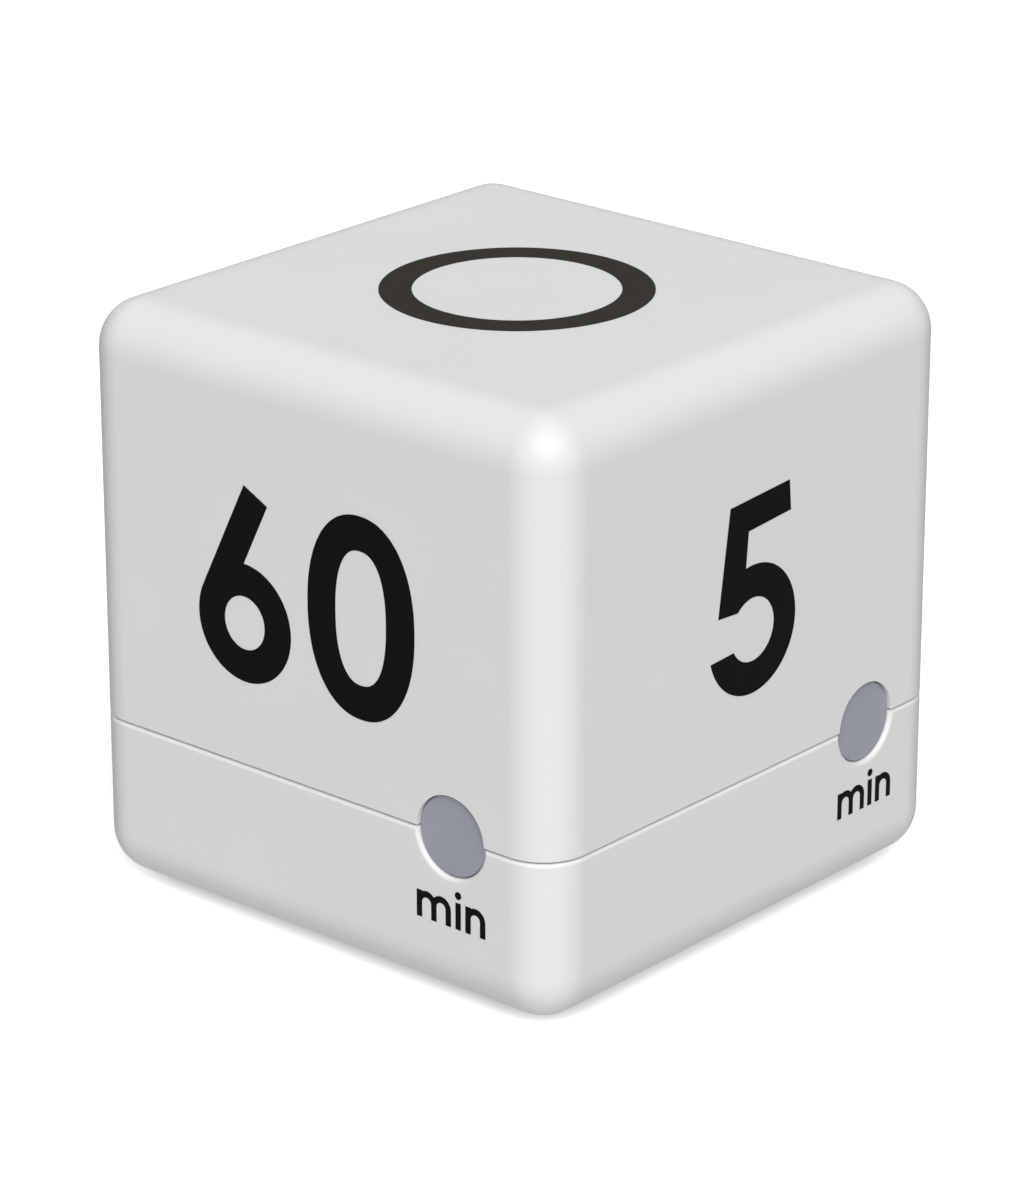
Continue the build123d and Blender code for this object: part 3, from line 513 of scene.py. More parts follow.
# ---------------------------------------------------------------- finishes
@dataclass(frozen=True)
class Finish:
    """A material with two close shades in soft patches and a fine surface grain.

    Attributes:
        name: the material's common name and how its surface was made.
        colour: sRGB hex.
        second: a second sRGB hex that the colour drifts to in soft patches.
        patch_mm: size of those patches.
        roughness: mean roughness.
        roughness_swing: how far roughness drifts each way.
        grain_mm: size of the surface grain.
        grain_depth_mm: its height.
        stretch: scale of the pattern along X, Y and Z, for brushed or drawn surfaces.
        metallic, ior, transmission, subsurface: the shader's own values.
    """

    name: str
    colour: str
    second: str
    patch_mm: float = 6.0
    roughness: float = 0.5
    roughness_swing: float = 0.04
    grain_mm: float = 0.3
    grain_depth_mm: float = 0.004
    stretch: tuple[float, float, float] = (1.0, 1.0, 1.0)
    metallic: float = 0.0
    ior: float = 1.5
    transmission: float = 0.0
    subsurface: float = 0.0

    def build(self) -> bpy.types.Material:
        """Makes the material.

        Returns:
            The material, with its node tree.
        """
        material = bpy.data.materials.new(self.name)
        material.use_nodes = True
        tree = material.node_tree
        tree.nodes.clear()
        place = add_node(tree, "ShaderNodeTexCoord")
        mapped = add_node(
            tree,
            "ShaderNodeMapping",
            values={"Scale": self.stretch},
            links={"Vector": place.outputs["Object"]},
        )
        vector = mapped.outputs["Vector"]
        wear_mm = self.patch_mm * WEAR_SHARE
        patches, wear, grain = (
            add_node(
                tree,
                "ShaderNodeTexNoise",
                values={"Scale": per_metre(size), "Detail": detail, "Roughness": NOISE_ROUGHNESS},
                links={"Vector": vector},
            ).outputs["Fac"]
            for size, detail in ((self.patch_mm, 2.0), (wear_mm, 3.0), (self.grain_mm, 1.0))
        )
        rough = add_node(
            tree,
            "ShaderNodeMapRange",
            values={
                "To Min": self.roughness - self.roughness_swing,
                "To Max": self.roughness + self.roughness_swing,
            },
            links={"Value": wear},
        )
        bump = add_node(
            tree,
            "ShaderNodeBump",
            values={"Strength": 1.0, "Distance": self.grain_depth_mm * MM},
            links={"Height": self.height_socket(tree, vector, grain)},
        )
        shader = add_node(
            tree,
            "ShaderNodeBsdfPrincipled",
            values={
                "Metallic": self.metallic,
                "IOR": self.ior,
                "Transmission Weight": self.transmission,
                "Subsurface Weight": self.subsurface,
                "Subsurface Radius": (SCATTER,) * 3,
                "Subsurface Scale": 1.0,
            },
            links={
                "Base Color": self.colour_socket(tree, vector, patches),
                "Roughness": rough.outputs["Result"],
                "Normal": bump.outputs["Normal"],
            },
        )
        surface = self.surface_socket(tree, shader.outputs["BSDF"])
        add_node(tree, "ShaderNodeOutputMaterial", links={"Surface": surface})
        return material

    def surface_socket(self, tree: Tree, shader: Socket) -> Socket:
        """What the output shows: the shader itself."""
        return shader

    def colour_socket(self, tree: Tree, vector: Socket, share: Socket) -> Socket:
        """The two shades, mixed.

        Args:
            tree: the material's tree.
            vector: the coordinates that patterns are drawn in.
            share: the second shade's share, which drifts in soft patches.

        Returns:
            The colour.
        """
        mix = add_node(
            tree,
            "ShaderNodeMix",
            settings={"data_type": "RGBA"},
            values={6: rgba(self.colour), 7: rgba(self.second)},
            links={0: share},
        )
        return mix.outputs[2]

    def height_socket(self, tree: Tree, vector: Socket, grain: Socket) -> Socket:
        """The height of the surface: its grain."""
        return grain


@dataclass(frozen=True)
class ClearPane(Finish):
    """A polished pane that lets the lamps' light through onto what lies behind it."""

    def surface_socket(self, tree: Tree, shader: Socket) -> Socket:
        """The shader, with a clear one in its place for rays from lamps.

        Args:
            tree: the material's tree.
            shader: the pane's own shader.

        Returns:
            What the output shows.
        """
        clear = add_node(tree, "ShaderNodeBsdfTransparent")
        path = add_node(tree, "ShaderNodeLightPath")
        mix = add_node(
            tree,
            "ShaderNodeMixShader",
            links={0: path.outputs["Is Shadow Ray"], 1: shader, 2: clear.outputs["BSDF"]},
        )
        return mix.outputs[0]


@dataclass(frozen=True)
class CircuitBoard(Finish):
    """Glass-fibre board under green solder mask, with paler and raised copper below it.

    Blocks of parallel tracks run along X or along Y, and between them lie blocks of solid copper.
    """

    block_mm: float = 6.5
    pitch_mm: float = 0.95  # about twice a real board's, so that the tracks show
    track_share: float = 0.42
    along_x_share: float = 0.42
    solid_share: float = 0.2

    def tracks(self, tree: Tree, vector: Socket) -> Socket:
        """Where copper is.

        Args:
            tree: the material's tree.
            vector: the coordinates it is drawn in.

        Returns:
            1 on copper and 0 between.
        """
        blocks = add_node(
            tree,
            "ShaderNodeTexVoronoi",
            settings={"feature": "F1", "distance": "CHEBYCHEV"},
            values={"Scale": per_metre(self.block_mm), "Randomness": 0.9},
            links={"Vector": vector},
        )
        choice = add_node(tree, "ShaderNodeSeparateColor", links={0: blocks.outputs["Color"]}).outputs[0]
        split = add_node(tree, "ShaderNodeSeparateXYZ", links={"Vector": vector})
        track = (("MULTIPLY", per_metre(self.pitch_mm)), ("FRACT", 0.0), ("LESS_THAN", self.track_share))
        chains = (
            (split.outputs["X"], track),
            (split.outputs["Y"], track),
            (choice, (("LESS_THAN", self.along_x_share),)),
            (choice, (("GREATER_THAN", 1 - self.solid_share),)),
        )
        ends = []
        for socket, steps in chains:
            for operation, value in steps:
                kind = {"operation": operation}
                step = add_node(tree, "ShaderNodeMath", settings=kind, values={1: value}, links={0: socket})
                socket = step.outputs[0]
            ends.append(socket)
        along_y, along_x, picks_x, solid = ends
        chosen = add_node(tree, "ShaderNodeMix", links={0: picks_x, 2: along_y, 3: along_x})
        copper = add_node(
            tree, "ShaderNodeMath", settings={"operation": "MAXIMUM"}, links={0: chosen.outputs[0], 1: solid}
        )
        return copper.outputs[0]

    def colour_socket(self, tree: Tree, vector: Socket, share: Socket) -> Socket:
        """Dark green, paler over the copper."""
        return super().colour_socket(tree, vector, self.tracks(tree, vector))

    def height_socket(self, tree: Tree, vector: Socket, grain: Socket) -> Socket:
        """The tracks stand proud."""
        return self.tracks(tree, vector)


@dataclass(frozen=True)
class CellSleeve(Finish):
    """Shrunk printed film on a cell: a coloured band at the button end, and one dark colour for the rest."""

    band: str = "#B9793A"
    band_start_mm: float = 0.0
    band_end_mm: float = 0.0

    def colour_socket(self, tree: Tree, vector: Socket, share: Socket) -> Socket:
        """The film's colour, and the band's between two places along X.

        Args:
            tree: the material's tree.
            vector: the coordinates it is drawn in.
            share: the second shade's share of the dark colour.

        Returns:
            The colour.
        """
        base = super().colour_socket(tree, vector, share)
        split = add_node(tree, "ShaderNodeSeparateXYZ", links={"Vector": vector})
        middle = (self.band_start_mm + self.band_end_mm) / 2 * MM
        half = abs(self.band_end_mm - self.band_start_mm) / 2 * MM
        inside = add_node(
            tree,
            "ShaderNodeMath",
            settings={"operation": "COMPARE"},
            values={1: middle, 2: half},
            links={0: split.outputs["X"]},
        )
        mix = add_node(
            tree,
            "ShaderNodeMix",
            settings={"data_type": "RGBA"},
            values={7: rgba(self.band)},
            links={0: inside.outputs[0], 6: base},
        )
        return mix.outputs[2]


@dataclass(frozen=True)
class WoundWire(Finish):
    """Enamelled copper wire wound in layers: fine parallel ridges along the winding."""

    wire_mm: float = 0.12
    bands_per_unit: float = 20.0  # bands that the wave texture draws over one unit at scale 1

    def height_socket(self, tree: Tree, vector: Socket, grain: Socket) -> Socket:
        """Round ridges stacked along Z, one for each turn.

        Args:
            tree: the material's tree.
            vector: the coordinates it is drawn in.
            grain: the plain grain, which a wire doesn't have.

        Returns:
            The height.
        """
        wave = add_node(
            tree,
            "ShaderNodeTexWave",
            settings={"wave_type": "BANDS", "bands_direction": "Z", "wave_profile": "SIN"},
            values={"Scale": per_metre(self.wire_mm) / self.bands_per_unit, "Distortion": 0.2},
            links={"Vector": vector},
        )
        return wave.outputs["Fac"]


def finishes() -> dict[str, Finish]:
    """Every finish, by the record's slot name.

    Returns:
        Slot name to finish.
    """
    return {
        # Injection-moulded ABS from a finely sparked tool: satin, soft highlights, very slightly translucent.
        "white_plastic": Finish(
            "abs_white_moulded", "#E3E3E3", "#DFDFDF", patch_mm=14, roughness=0.40, roughness_swing=0.03,
            grain_mm=0.28, grain_depth_mm=0.0022, ior=1.53, subsurface=0.06,
        ),
        # Smoke-tinted acrylic, frosted on the back: a flat blue-grey disc with a soft sheen.
        "window_plastic": Finish(
            "acrylic_smoked_frosted", "#9B9FA8", "#A3A7B0", patch_mm=3.5, roughness=0.34, grain_mm=0.2,
            grain_depth_mm=0.0015, ior=1.49, transmission=0.08,
        ),
        # Polished cast acrylic pane.
        "clear_plastic": ClearPane(
            "acrylic_clear_polished", "#F2F6F6", "#EEF3F3", roughness=0.04, roughness_swing=0.015,
            grain_mm=2.5, grain_depth_mm=0.001, ior=1.49, transmission=1.0,
        ),
        # ABS with a coarser spark texture, so that a finger grips it.
        "grey_knob": Finish(
            "abs_grey_textured", "#4A4C50", "#424448", roughness=0.55, grain_mm=0.18, grain_depth_mm=0.012,
        ),
        # Unpigmented nylon: a warm milky white that light enters.
        "natural_plastic": Finish(
            "nylon_natural_moulded", "#DDD8C9", "#D3CDBB", roughness=0.48, grain_mm=0.4, subsurface=0.15,
        ),
        # Injection-moulded polyester, near black and evenly satin.
        "black_plastic": Finish(
            "pbt_black_moulded", "#1B1B1D", "#222225", grain_mm=0.25, grain_depth_mm=0.006,
        ),
        # Closed-cell foam: matt, with open skin cells.
        "foam": Finish(
            "polyethylene_foam_cut", "#232326", "#2E2E31", patch_mm=2, roughness=0.9, grain_mm=0.45,
            grain_depth_mm=0.08,
        ),
        # Nickel-plated drawn steel, faintly ringed by the drawing.
        "cell_metal": Finish(
            "steel_nickel_plated_drawn", "#C9C5BC", "#BDB8AD", roughness=0.26, metallic=1.0,
            grain_depth_mm=0.002, stretch=(6.0, 1.0, 1.0),
        ),
        # Printed film shrunk tight on a cell: smooth, with the slow ripples that shrinking leaves.
        "jacket_film": CellSleeve(
            "film_printed_shrunk", "#1E3A34", "#22423B", patch_mm=8, roughness=0.28, grain_mm=1.6,
        ),
        # Rolled spring strip with a bright nickel plate.
        "contact_metal": Finish(
            "spring_steel_nickel_plated", "#CFCAC0", "#C2BCB0", roughness=0.24, metallic=1.0, grain_mm=0.35,
            grain_depth_mm=0.002, stretch=(1.0, 1.0, 0.15),
        ),
        # Laminate under solder mask: glossy dark green, with the tracks as pale raised lines.
        "board_green": CircuitBoard(
            "glass_fibre_green_mask", "#0B3B20", "#1C5A33", roughness=0.3, grain_depth_mm=0.03,
        ),
        # Drawn brass with a thin gold plate: warm and bright.
        "pin_metal": Finish(
            "brass_gold_flashed", "#D9B765", "#C9A452", roughness=0.25, metallic=1.0, grain_depth_mm=0.001,
        ),
        # Poured epoxy over a bare chip: deep gloss with slow ripples.
        "resin": Finish(
            "epoxy_black_poured", "#0D0D0E", "#131315", roughness=0.2, grain_mm=1.4, grain_depth_mm=0.03,
        ),
        # Fired ceramic blocks: dull beige, finely speckled.
        "chip_ceramic": Finish(
            "ceramic_fired_beige", "#A98F6D", "#97805F", patch_mm=0.8, roughness=0.55, grain_mm=0.15,
        ),
        # Tin-plated steel drawn into cans: pale grey, with faint lines along the draw.
        "can_steel": Finish(
            "steel_tin_plated_drawn", "#B9BBBD", "#ABADAF", roughness=0.3, metallic=1.0, grain_mm=0.25,
            grain_depth_mm=0.002, stretch=(1.0, 1.0, 0.2),
        ),
        # Copper wire dipped in tin: silvery, softly blurred.
        "lead_tin": Finish(
            "copper_wire_tinned", "#D6D5D0", "#C6C5BF", roughness=0.32, metallic=1.0, grain_depth_mm=0.001,
        ),
        # Dark blue film shrunk on the can.
        "capacitor_sleeve": Finish(
            "film_blue_shrunk", "#1D2A55", "#223061", roughness=0.3, grain_mm=1.2, grain_depth_mm=0.003,
        ),
        # Epoxy tinted red and clouded with filler, cast round the lamp's die.
        "lamp_red": Finish(
            "epoxy_red_diffused", "#B5231C", "#C2332A", roughness=0.22, grain_mm=0.8, grain_depth_mm=0.002,
            transmission=0.35, subsurface=0.3, ior=1.53,
        ),
        # Phenolic moulding: black, a little duller than the polyester.
        "buzzer_core": Finish(
            "phenolic_black_moulded", "#17171A", "#1F1F22", roughness=0.55, grain_depth_mm=0.01,
        ),
        # Sintered ferrite: dark grey, grainy and quite matt.
        "magnet": Finish(
            "ferrite_sintered", "#3A3A3D", "#2D2D30", patch_mm=0.6, roughness=0.7, grain_mm=0.12,
            grain_depth_mm=0.02,
        ),
        # Enamelled winding wire: red copper whose turns catch the light as fine ridges.
        "copper_wire": WoundWire(
            "copper_wire_enamelled", "#B4622F", "#A15427", roughness=0.28, metallic=1.0, grain_depth_mm=0.05,
        ),
        # Float glass with its thin liquid-crystal layer: nearly clear, faintly green.
        "lcd_glass": ClearPane(
            "glass_float_green", "#E8F0EA", "#E4EDE6", roughness=0.03, roughness_swing=0.01, grain_mm=4,
            grain_depth_mm=0.0005, ior=1.52, transmission=1.0,
        ),
        # Matt silver film behind the display, which makes its ground grey-green.
        "reflector_film": Finish(
            "film_silver_matt", "#D3DBC8", "#CAD2BF", patch_mm=1.5, roughness=0.6, grain_depth_mm=0.001,
        ),
        # Silicone strips cut from sheet: dull pink with thin carbon layers between, too fine to show.
        "strip_rubber": Finish(
            "silicone_pink_cut", "#B98390", "#AD7783", patch_mm=1.0, roughness=0.6, grain_mm=0.2,
        ),
        # Ground bearing steel: close to a mirror.
        "ball_steel": Finish(
            "steel_ball_ground", "#D2D3D5", "#C9CACC", roughness=0.1, roughness_swing=0.03, metallic=1.0,
            grain_mm=0.1, grain_depth_mm=0.0004,
        ),
        # Cold-headed screw with bright zinc: slightly blue, with a dull recess.
        "screw_steel": Finish(
            "steel_zinc_plated", "#B3B7BC", "#9EA2A8", patch_mm=0.9, roughness=0.34, roughness_swing=0.1,
            metallic=1.0, grain_mm=0.2, grain_depth_mm=0.006,
        ),
    }


# Pad-printed two-part ink: dense, near black and nearly matt.
FACE_INK = Finish(
    "ink_black_pad_printed", "#070707", "#050505", patch_mm=5, roughness=0.6, grain_mm=0.22,
    grain_depth_mm=0.002, ior=1.25,
)
# The ink on the 0 face is warmer, and its film is slightly thinner.
RING_INK = replace(FACE_INK, name="ink_charcoal_pad_printed", colour="#302C27", second="#33302A")
# Screened inks lie flat and even; the one on the cells holds aluminium flakes.
MASK_INK = Finish("ink_grey_screened", "#3C3F43", "#383B3F", grain_mm=0.6, grain_depth_mm=0.0005)
LABEL_INK = Finish("ink_grey_pad_printed", "#6B6E73", "#64676C", grain_mm=0.2)
CELL_INK = Finish("ink_silver_printed", "#C9CBCB", "#BFC1C1", roughness=0.35, metallic=0.6)
BOARD_INK = Finish("ink_white_screened", "#E6E8E4", "#DADDD8", roughness=0.6, grain_mm=0.2)
# Liquid crystal: dark where it is driven, and a faint shadow of its ground where it is idle.
SEGMENT_LIT = Finish("liquid_crystal_dark", "#15191A", "#191D1E", grain_depth_mm=0.0)
SEGMENT_GHOST = Finish("liquid_crystal_idle", "#949D8E", "#909989", grain_depth_mm=0.0)


# ---------------------------------------------------------------- sub-assemblies
def finish_piece(piece: bpy.types.Object, material: bpy.types.Material, body: str) -> None:
    """Dresses a new piece, fixes it to a body and reports it.

    Args:
        piece: the new piece.
        material: its material.
        body: the CAD body that it moves with.
    """
    piece.data.materials.clear()
    piece.data.materials.append(material)
    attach(piece, body)
    log.info("piece %s: %d faces, on %s", piece.name, len(piece.data.polygons), body)


@dataclass
class Casing:
    """The two shells, and all that is printed on their outsides."""

    case: str = "case"
    windows: tuple[str, ...] = ("60", "5", "15", "30")
    number_middle: float = -0.45  # millimetres from the face's middle line
    number_base: float = 27.7
    ring_outer: float = 14.3
    ring_inner: float = 10.85
    word_base: float = 8.62
    word_middle: float = 19.06
    numerals: Numerals = field(default_factory=Numerals)
    word: UnitWord = field(default_factory=UnitWord)

    def build(self) -> None:
        """Prints the ring, the four numbers and the four unit words."""
        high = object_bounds()[1]
        ink = FACE_INK.build()
        rims = [closed_arc((0, 0), (radius,) * 2, steps=128) for radius in (self.ring_outer, self.ring_inner)]
        ring = FlatPiece("ring_0", rims, 2 * INK_THICK)
        top = plane_matrix((0, 0, high.z - INK_THICK), (1, 0, 0), (0, 1, 0))
        finish_piece(ring.place(top), RING_INK.build(), self.case)
        for turn, number in enumerate(self.windows):
            spin = Matrix.Rotation(turn * math.pi / 2, 4, "Z")
            for kind, (width, loops), middle, base in (
                ("number", self.numerals.number(number), self.number_middle, self.number_base),
                ("unit", self.word.loops(), self.word_middle, self.word_base),
            ):
                left = (middle - width / 2) * MM
                front = plane_matrix((left, INK_THICK - high.x, base * MM), (1, 0, 0), (0, 0, 1))
                piece = FlatPiece(f"{kind}_{number}", loops, 2 * INK_THICK)
                finish_piece(piece.place(spin @ front), ink, self.case)


@dataclass
class Display:
    """What the display shows, and the printed mask behind its pane."""

    case: str = "case"
    digit_width: float = 4.6
    digit_height: float = 9.2
    bar: float = 1.05
    bar_gap: float = 0.16  # from a bar's end to the corner of its digit
    bar_trim: float = 0.04  # how much a bar is narrowed each side, so that bars don't touch
    slant: float = 0.10
    spacing: float = 2.3
    digits: int = 4
    blank_digits: int = 1  # idle ones at the left
    colon_room: float = 0.9  # how far the digits each side of the colon stand apart from it
    dot: float = 0.95
    dot_corner: float = 0.2
    dot_rise: float = 1.84  # each dot of the colon from the digits' middle line
    film: float = 0.01
    film_gap: float = 0.016  # from the front glass to the bars
    mask_margin: float = 0.15
    mask_gap: float = 0.03  # from the pane to the mask
    mask_thick: float = 0.02
    view: Point = (31.6, 12.4)  # the mask's opening
    mask_corner: float = 1.3
    view_corner: float = 0.8

    def build(self) -> None:
        """Makes the lit bars, the idle bars and the mask."""
        glass_low, glass_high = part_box("lcd_front_glass")
        middle = (glass_low + glass_high) / 2
        place = plane_matrix((middle.x, middle.y, glass_high.z + self.film_gap * MM), *READ_BELOW)
        for name, loops, finish in zip(("lit", "idle"), self.bars(), (SEGMENT_LIT, SEGMENT_GHOST)):
            bars = FlatPiece(f"display_bars_{name}", loops, self.film * MM)
            finish_piece(bars.place(place), finish.build(), self.case)
        lens_low, lens_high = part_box("display_lens")
        outer = tuple((lens_high[axis] - lens_low[axis]) / MM - 2 * self.mask_margin for axis in (0, 1))
        mask = FlatPiece(
            "display_mask",
            [rounded_box((0, 0), outer, self.mask_corner), rounded_box((0, 0), self.view, self.view_corner)],
            self.mask_thick * MM,
        )
        behind = plane_matrix((middle.x, middle.y, lens_high.z + self.mask_gap * MM), *READ_BELOW)
        finish_piece(mask.place(behind), MASK_INK.build(), self.case)

    def bars(self) -> tuple[list[Loop], list[Loop]]:
        """Outlines of the lit and of the idle bars.

        Returns:
            The loops that make 0:00, and the other bars that the display has.
        """
        lit: list[Loop] = []
        idle: list[Loop] = []
        step = self.digit_width + self.spacing
        half_x, half_y = self.digit_width / 2 - self.bar / 2, self.digit_height / 4 - self.bar / 4
        for index in range(self.digits):
            from_colon = index + 0.5 - self.digits / 2
            middle = from_colon * step + math.copysign(self.colon_room, from_colon)
            for bar in SegmentBar:
                x, y, turn = bar.value
                along = (half_y if turn else half_x) - self.bar_gap
                loop = self.bar_loop(middle + x * half_x, y * half_y, along, turn)
                shown = bar is not SegmentBar.MIDDLE and index >= self.blank_digits
                (lit if shown else idle).append(loop)
        for sign in (-1, 1):
            y = sign * self.dot_rise
            lit.append(rounded_box((self.slant * y, y), (self.dot, self.dot), self.dot_corner))
        return lit, idle

    def bar_loop(self, x: float, y: float, along: float, turn: int) -> Loop:
        """One bar: a long hexagon, leaned over with the whole digit.

        Args:
            x: its middle.
            y: its middle.
            along: half its length.
            turn: 90 for an upright bar.

        Returns:
            Its outline.
        """
        half = self.bar / 2 - self.bar_trim
        side = along - half
        shape = [(-along, 0), (-side, -half), (side, -half), (along, 0), (side, half), (-side, half)]
        if turn:
            shape = [(-py, px) for px, py in shape]
        return [(px + x + self.slant * (py + y), py + y) for px, py in shape]


@dataclass
class PowerLabels:
    """The two words beside the power switch, and the arrow on the battery door."""

    letter: float = 1.9
    on_drop: float = 0.4  # from the low edge of the knob's box at rest to the middle of ON
    off_rise: float = 3.4  # from its high edge to the middle of OFF, past the slot
    arrow_inset: float = 9.2  # from the door's free edge to the arrow's shoulders
    arrow: tuple[Point, ...] = (
        (-1.7, 0), (-0.55, 0), (-0.55, -2.2), (0.55, -2.2), (0.55, 0), (1.7, 0), (0, 2.0),
    )

    def build(self) -> None:
        """Prints the words on the lower shell and the arrow on the door."""
        ink = LABEL_INK.build()
        low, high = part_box("switch_knob")
        x = (low.x + high.x) / 2 / MM
        for text, y in (("ON", low.y / MM - self.on_drop), ("OFF", high.y / MM + self.off_rise)):
            self.word(text, x, y, ink)
        door_low, door_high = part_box("battery_door")
        arrow = FlatPiece("door_arrow", [list(self.arrow)], 2 * INK_THICK)
        shoulders = door_high.y - self.arrow_inset * MM
        place = plane_matrix((0, shoulders, door_low.z + INK_THICK), *READ_BELOW)
        finish_piece(arrow.place(place), ink, "battery_door")

    def word(self, text: str, x: float, y: float, ink: bpy.types.Material) -> None:
        """Prints one word on the bottom face.

        Args:
            text: the word.
            x: its middle, in millimetres.
            y: its middle, in millimetres.
            ink: the material.
        """
        deselect()
        bpy.ops.object.text_add()
        label = bpy.context.object
        label.name = f"label_{text.lower()}"
        label.data.body = text
        label.data.size = self.letter * MM
        label.data.align_x = "CENTER"
        label.data.align_y = "CENTER"
        label.data.extrude = INK_THICK
        bpy.ops.object.convert(target="MESH")
        label = bpy.context.object
        label.data.transform(plane_matrix((x * MM, y * MM, 0), *READ_BELOW))
        deselect()
        finish_piece(label, ink, "case")


@dataclass
class CellMarks:
    """Plus and minus signs printed round the cells' sleeves."""

    arm: float = 1.5
    half_stroke: float = 0.32
    dash_corner: float = 0.1
    inset: float = 3.6  # from the sleeve's end to the middle of a mark
    lift: float = 0.005  # clear of the sleeve
    cuts: int = 4  # so that a mark bends round the sleeve

    def build(self) -> None:
        """Prints a plus near each button and a minus near each flat end, facing the door."""
        ink = CELL_INK.build()
        for index, sign in ((1, 1), (2, -1)):
            low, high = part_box(f"cell_{index}_jacket")
            middle = (low + high) / 2
            radius = (high.y - low.y) / 2
            ends = (high.x, low.x) if sign > 0 else (low.x, high.x)
            plus_x = ends[0] - sign * self.inset * MM
            minus_x = ends[1] + sign * self.inset * MM
            arm, half = self.arm, self.half_stroke
            cross = [(-arm, -half), (-half, -half), (-half, -arm), (half, -arm), (half, -half), (arm, -half)]
            cross += [(-x, -y) for x, y in cross]
            self.wrap(f"cell_{index}_plus", cross, plus_x, middle, radius, ink)
            dash = rounded_box((0, 0), (2 * half, 2 * arm), self.dash_corner)
            self.wrap(f"cell_{index}_minus", dash, minus_x, middle, radius, ink)

    def wrap(
        self, name: str, loop: Loop, x: float, middle: Vector, radius: float, ink: bpy.types.Material
    ) -> None:
        """Lays a flat mark onto the sleeve's underside.

        Args:
            name: the piece's name.
            loop: its outline.
            x: where it goes along the cell.
            middle: a point on the cell's axis.
            radius: the sleeve's radius.
            ink: the material.
        """
        mark = FlatPiece(name, [loop], INK_THICK)
        bpy.ops.object.mode_set(mode="EDIT")
        bpy.ops.mesh.select_all(action="SELECT")
        bpy.ops.mesh.subdivide(number_cuts=self.cuts)
        bpy.ops.object.mode_set(mode="OBJECT")
        for vertex in mark.object.data.vertices:
            along, across, rise = vertex.co
            angle = across / radius
            reach = radius + rise + self.lift * MM
            vertex.co = (x + along, middle.y - reach * math.sin(angle), middle.z - reach * math.cos(angle))
        finish_piece(mark.place(Matrix.Identity(4)), ink, "case")


@dataclass
class BoardPrint:
    """White outlines screened on the main board round its largest parts."""

    line: float = 0.22
    gap: float = 0.45
    round_nodes: tuple[str, ...] = ("buzzer_case", "electrolytic_capacitor")
    square_nodes: tuple[str, ...] = ("tilt_cradle",)
    corner: float = 0.3
    sink: float = 0.01  # the film's back lies this far inside the board

    def build(self) -> None:
        """Prints one outline round each part."""
        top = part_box("main_board")[1].z
        loops: list[Loop] = []
        for node in (*self.round_nodes, *self.square_nodes):
            low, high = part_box(node)
            middle = ((low.x + high.x) / 2 / MM, (low.y + high.y) / 2 / MM)
            size = ((high.x - low.x) / MM + 2 * self.gap, (high.y - low.y) / MM + 2 * self.gap)
            for grow in (2 * self.line, 0):
                if node in self.round_nodes:
                    loops.append(closed_arc(middle, ((size[0] + grow) / 2,) * 2, 64))
                else:
                    loops.append(rounded_box(middle, (size[0] + grow, size[1] + grow), self.corner))
        place = plane_matrix((0, 0, top - self.sink * MM), (1, 0, 0), (0, 1, 0))
        piece = FlatPiece("board_outlines", loops, 2 * INK_THICK).place(place)
        finish_piece(piece, BOARD_INK.build(), "case")


@dataclass
class Wardrobe:
    """Gives every CAD node the finish of its slot."""

    band_length: float = 11.0

    def build(self, frame: dict) -> None:
        """Dresses the CAD nodes.
        """
        slots = {row["node"]: row["material_slot"] for row in frame["record"]["subparts"]}
        wardrobe = finishes()
        made = {slot: finish.build() for slot, finish in wardrobe.items()}
        for node, part in sorted(frame["nodes"].items()):
            material = made[slots[node]]
            if node.endswith("_jacket"):
                material = self.sleeve(node, wardrobe["jacket_film"]).build()
            for holder in part.material_slots:
                holder.material = material
            log.info("node %s: %s", node, material.name)

    def sleeve(self, node: str, film: Finish) -> Finish:
        """The film of one cell, whose band is at its button end.

        Args:
            node: the jacket's node.
            film: the finish of every cell's film.

        Returns:
            The finish of this cell's.
        """
        low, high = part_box(node)
        end, inward = (high.x / MM, -1) if node.startswith("cell_1") else (low.x / MM, 1)
        stop = end + inward * self.band_length
        return replace(film, name=f"film_printed_{node}", band_start_mm=end, band_end_mm=stop)


@dataclass(frozen=True)
class SoftBox:
    """A large, far soft light, as even over the floor as over the object.

    Attributes:
        name: the lamp's name.
        azimuth: in degrees, 0 in front of the 60 face.
        elevation: in degrees.
        strength: in watts per square metre.
        spread: how wide it looks from the object, in degrees.
        mirrored: whether it shows in glossy surfaces.
    """

    name: str
    azimuth: float
    elevation: float
    strength: float
    spread: float
    mirrored: bool = False

    def build(self) -> None:
        """Adds the lamp."""
        deselect()
        way = direction(self.azimuth, self.elevation)
        bpy.ops.object.light_add(type="SUN", location=way)
        lamp = bpy.context.object
        lamp.name = self.name
        lamp.data.angle = math.radians(self.spread)
        lamp.data.energy = self.strength
        lamp.rotation_euler = (-way).to_track_quat("-Z", "Y").to_euler()
        lamp.visible_glossy = self.mirrored


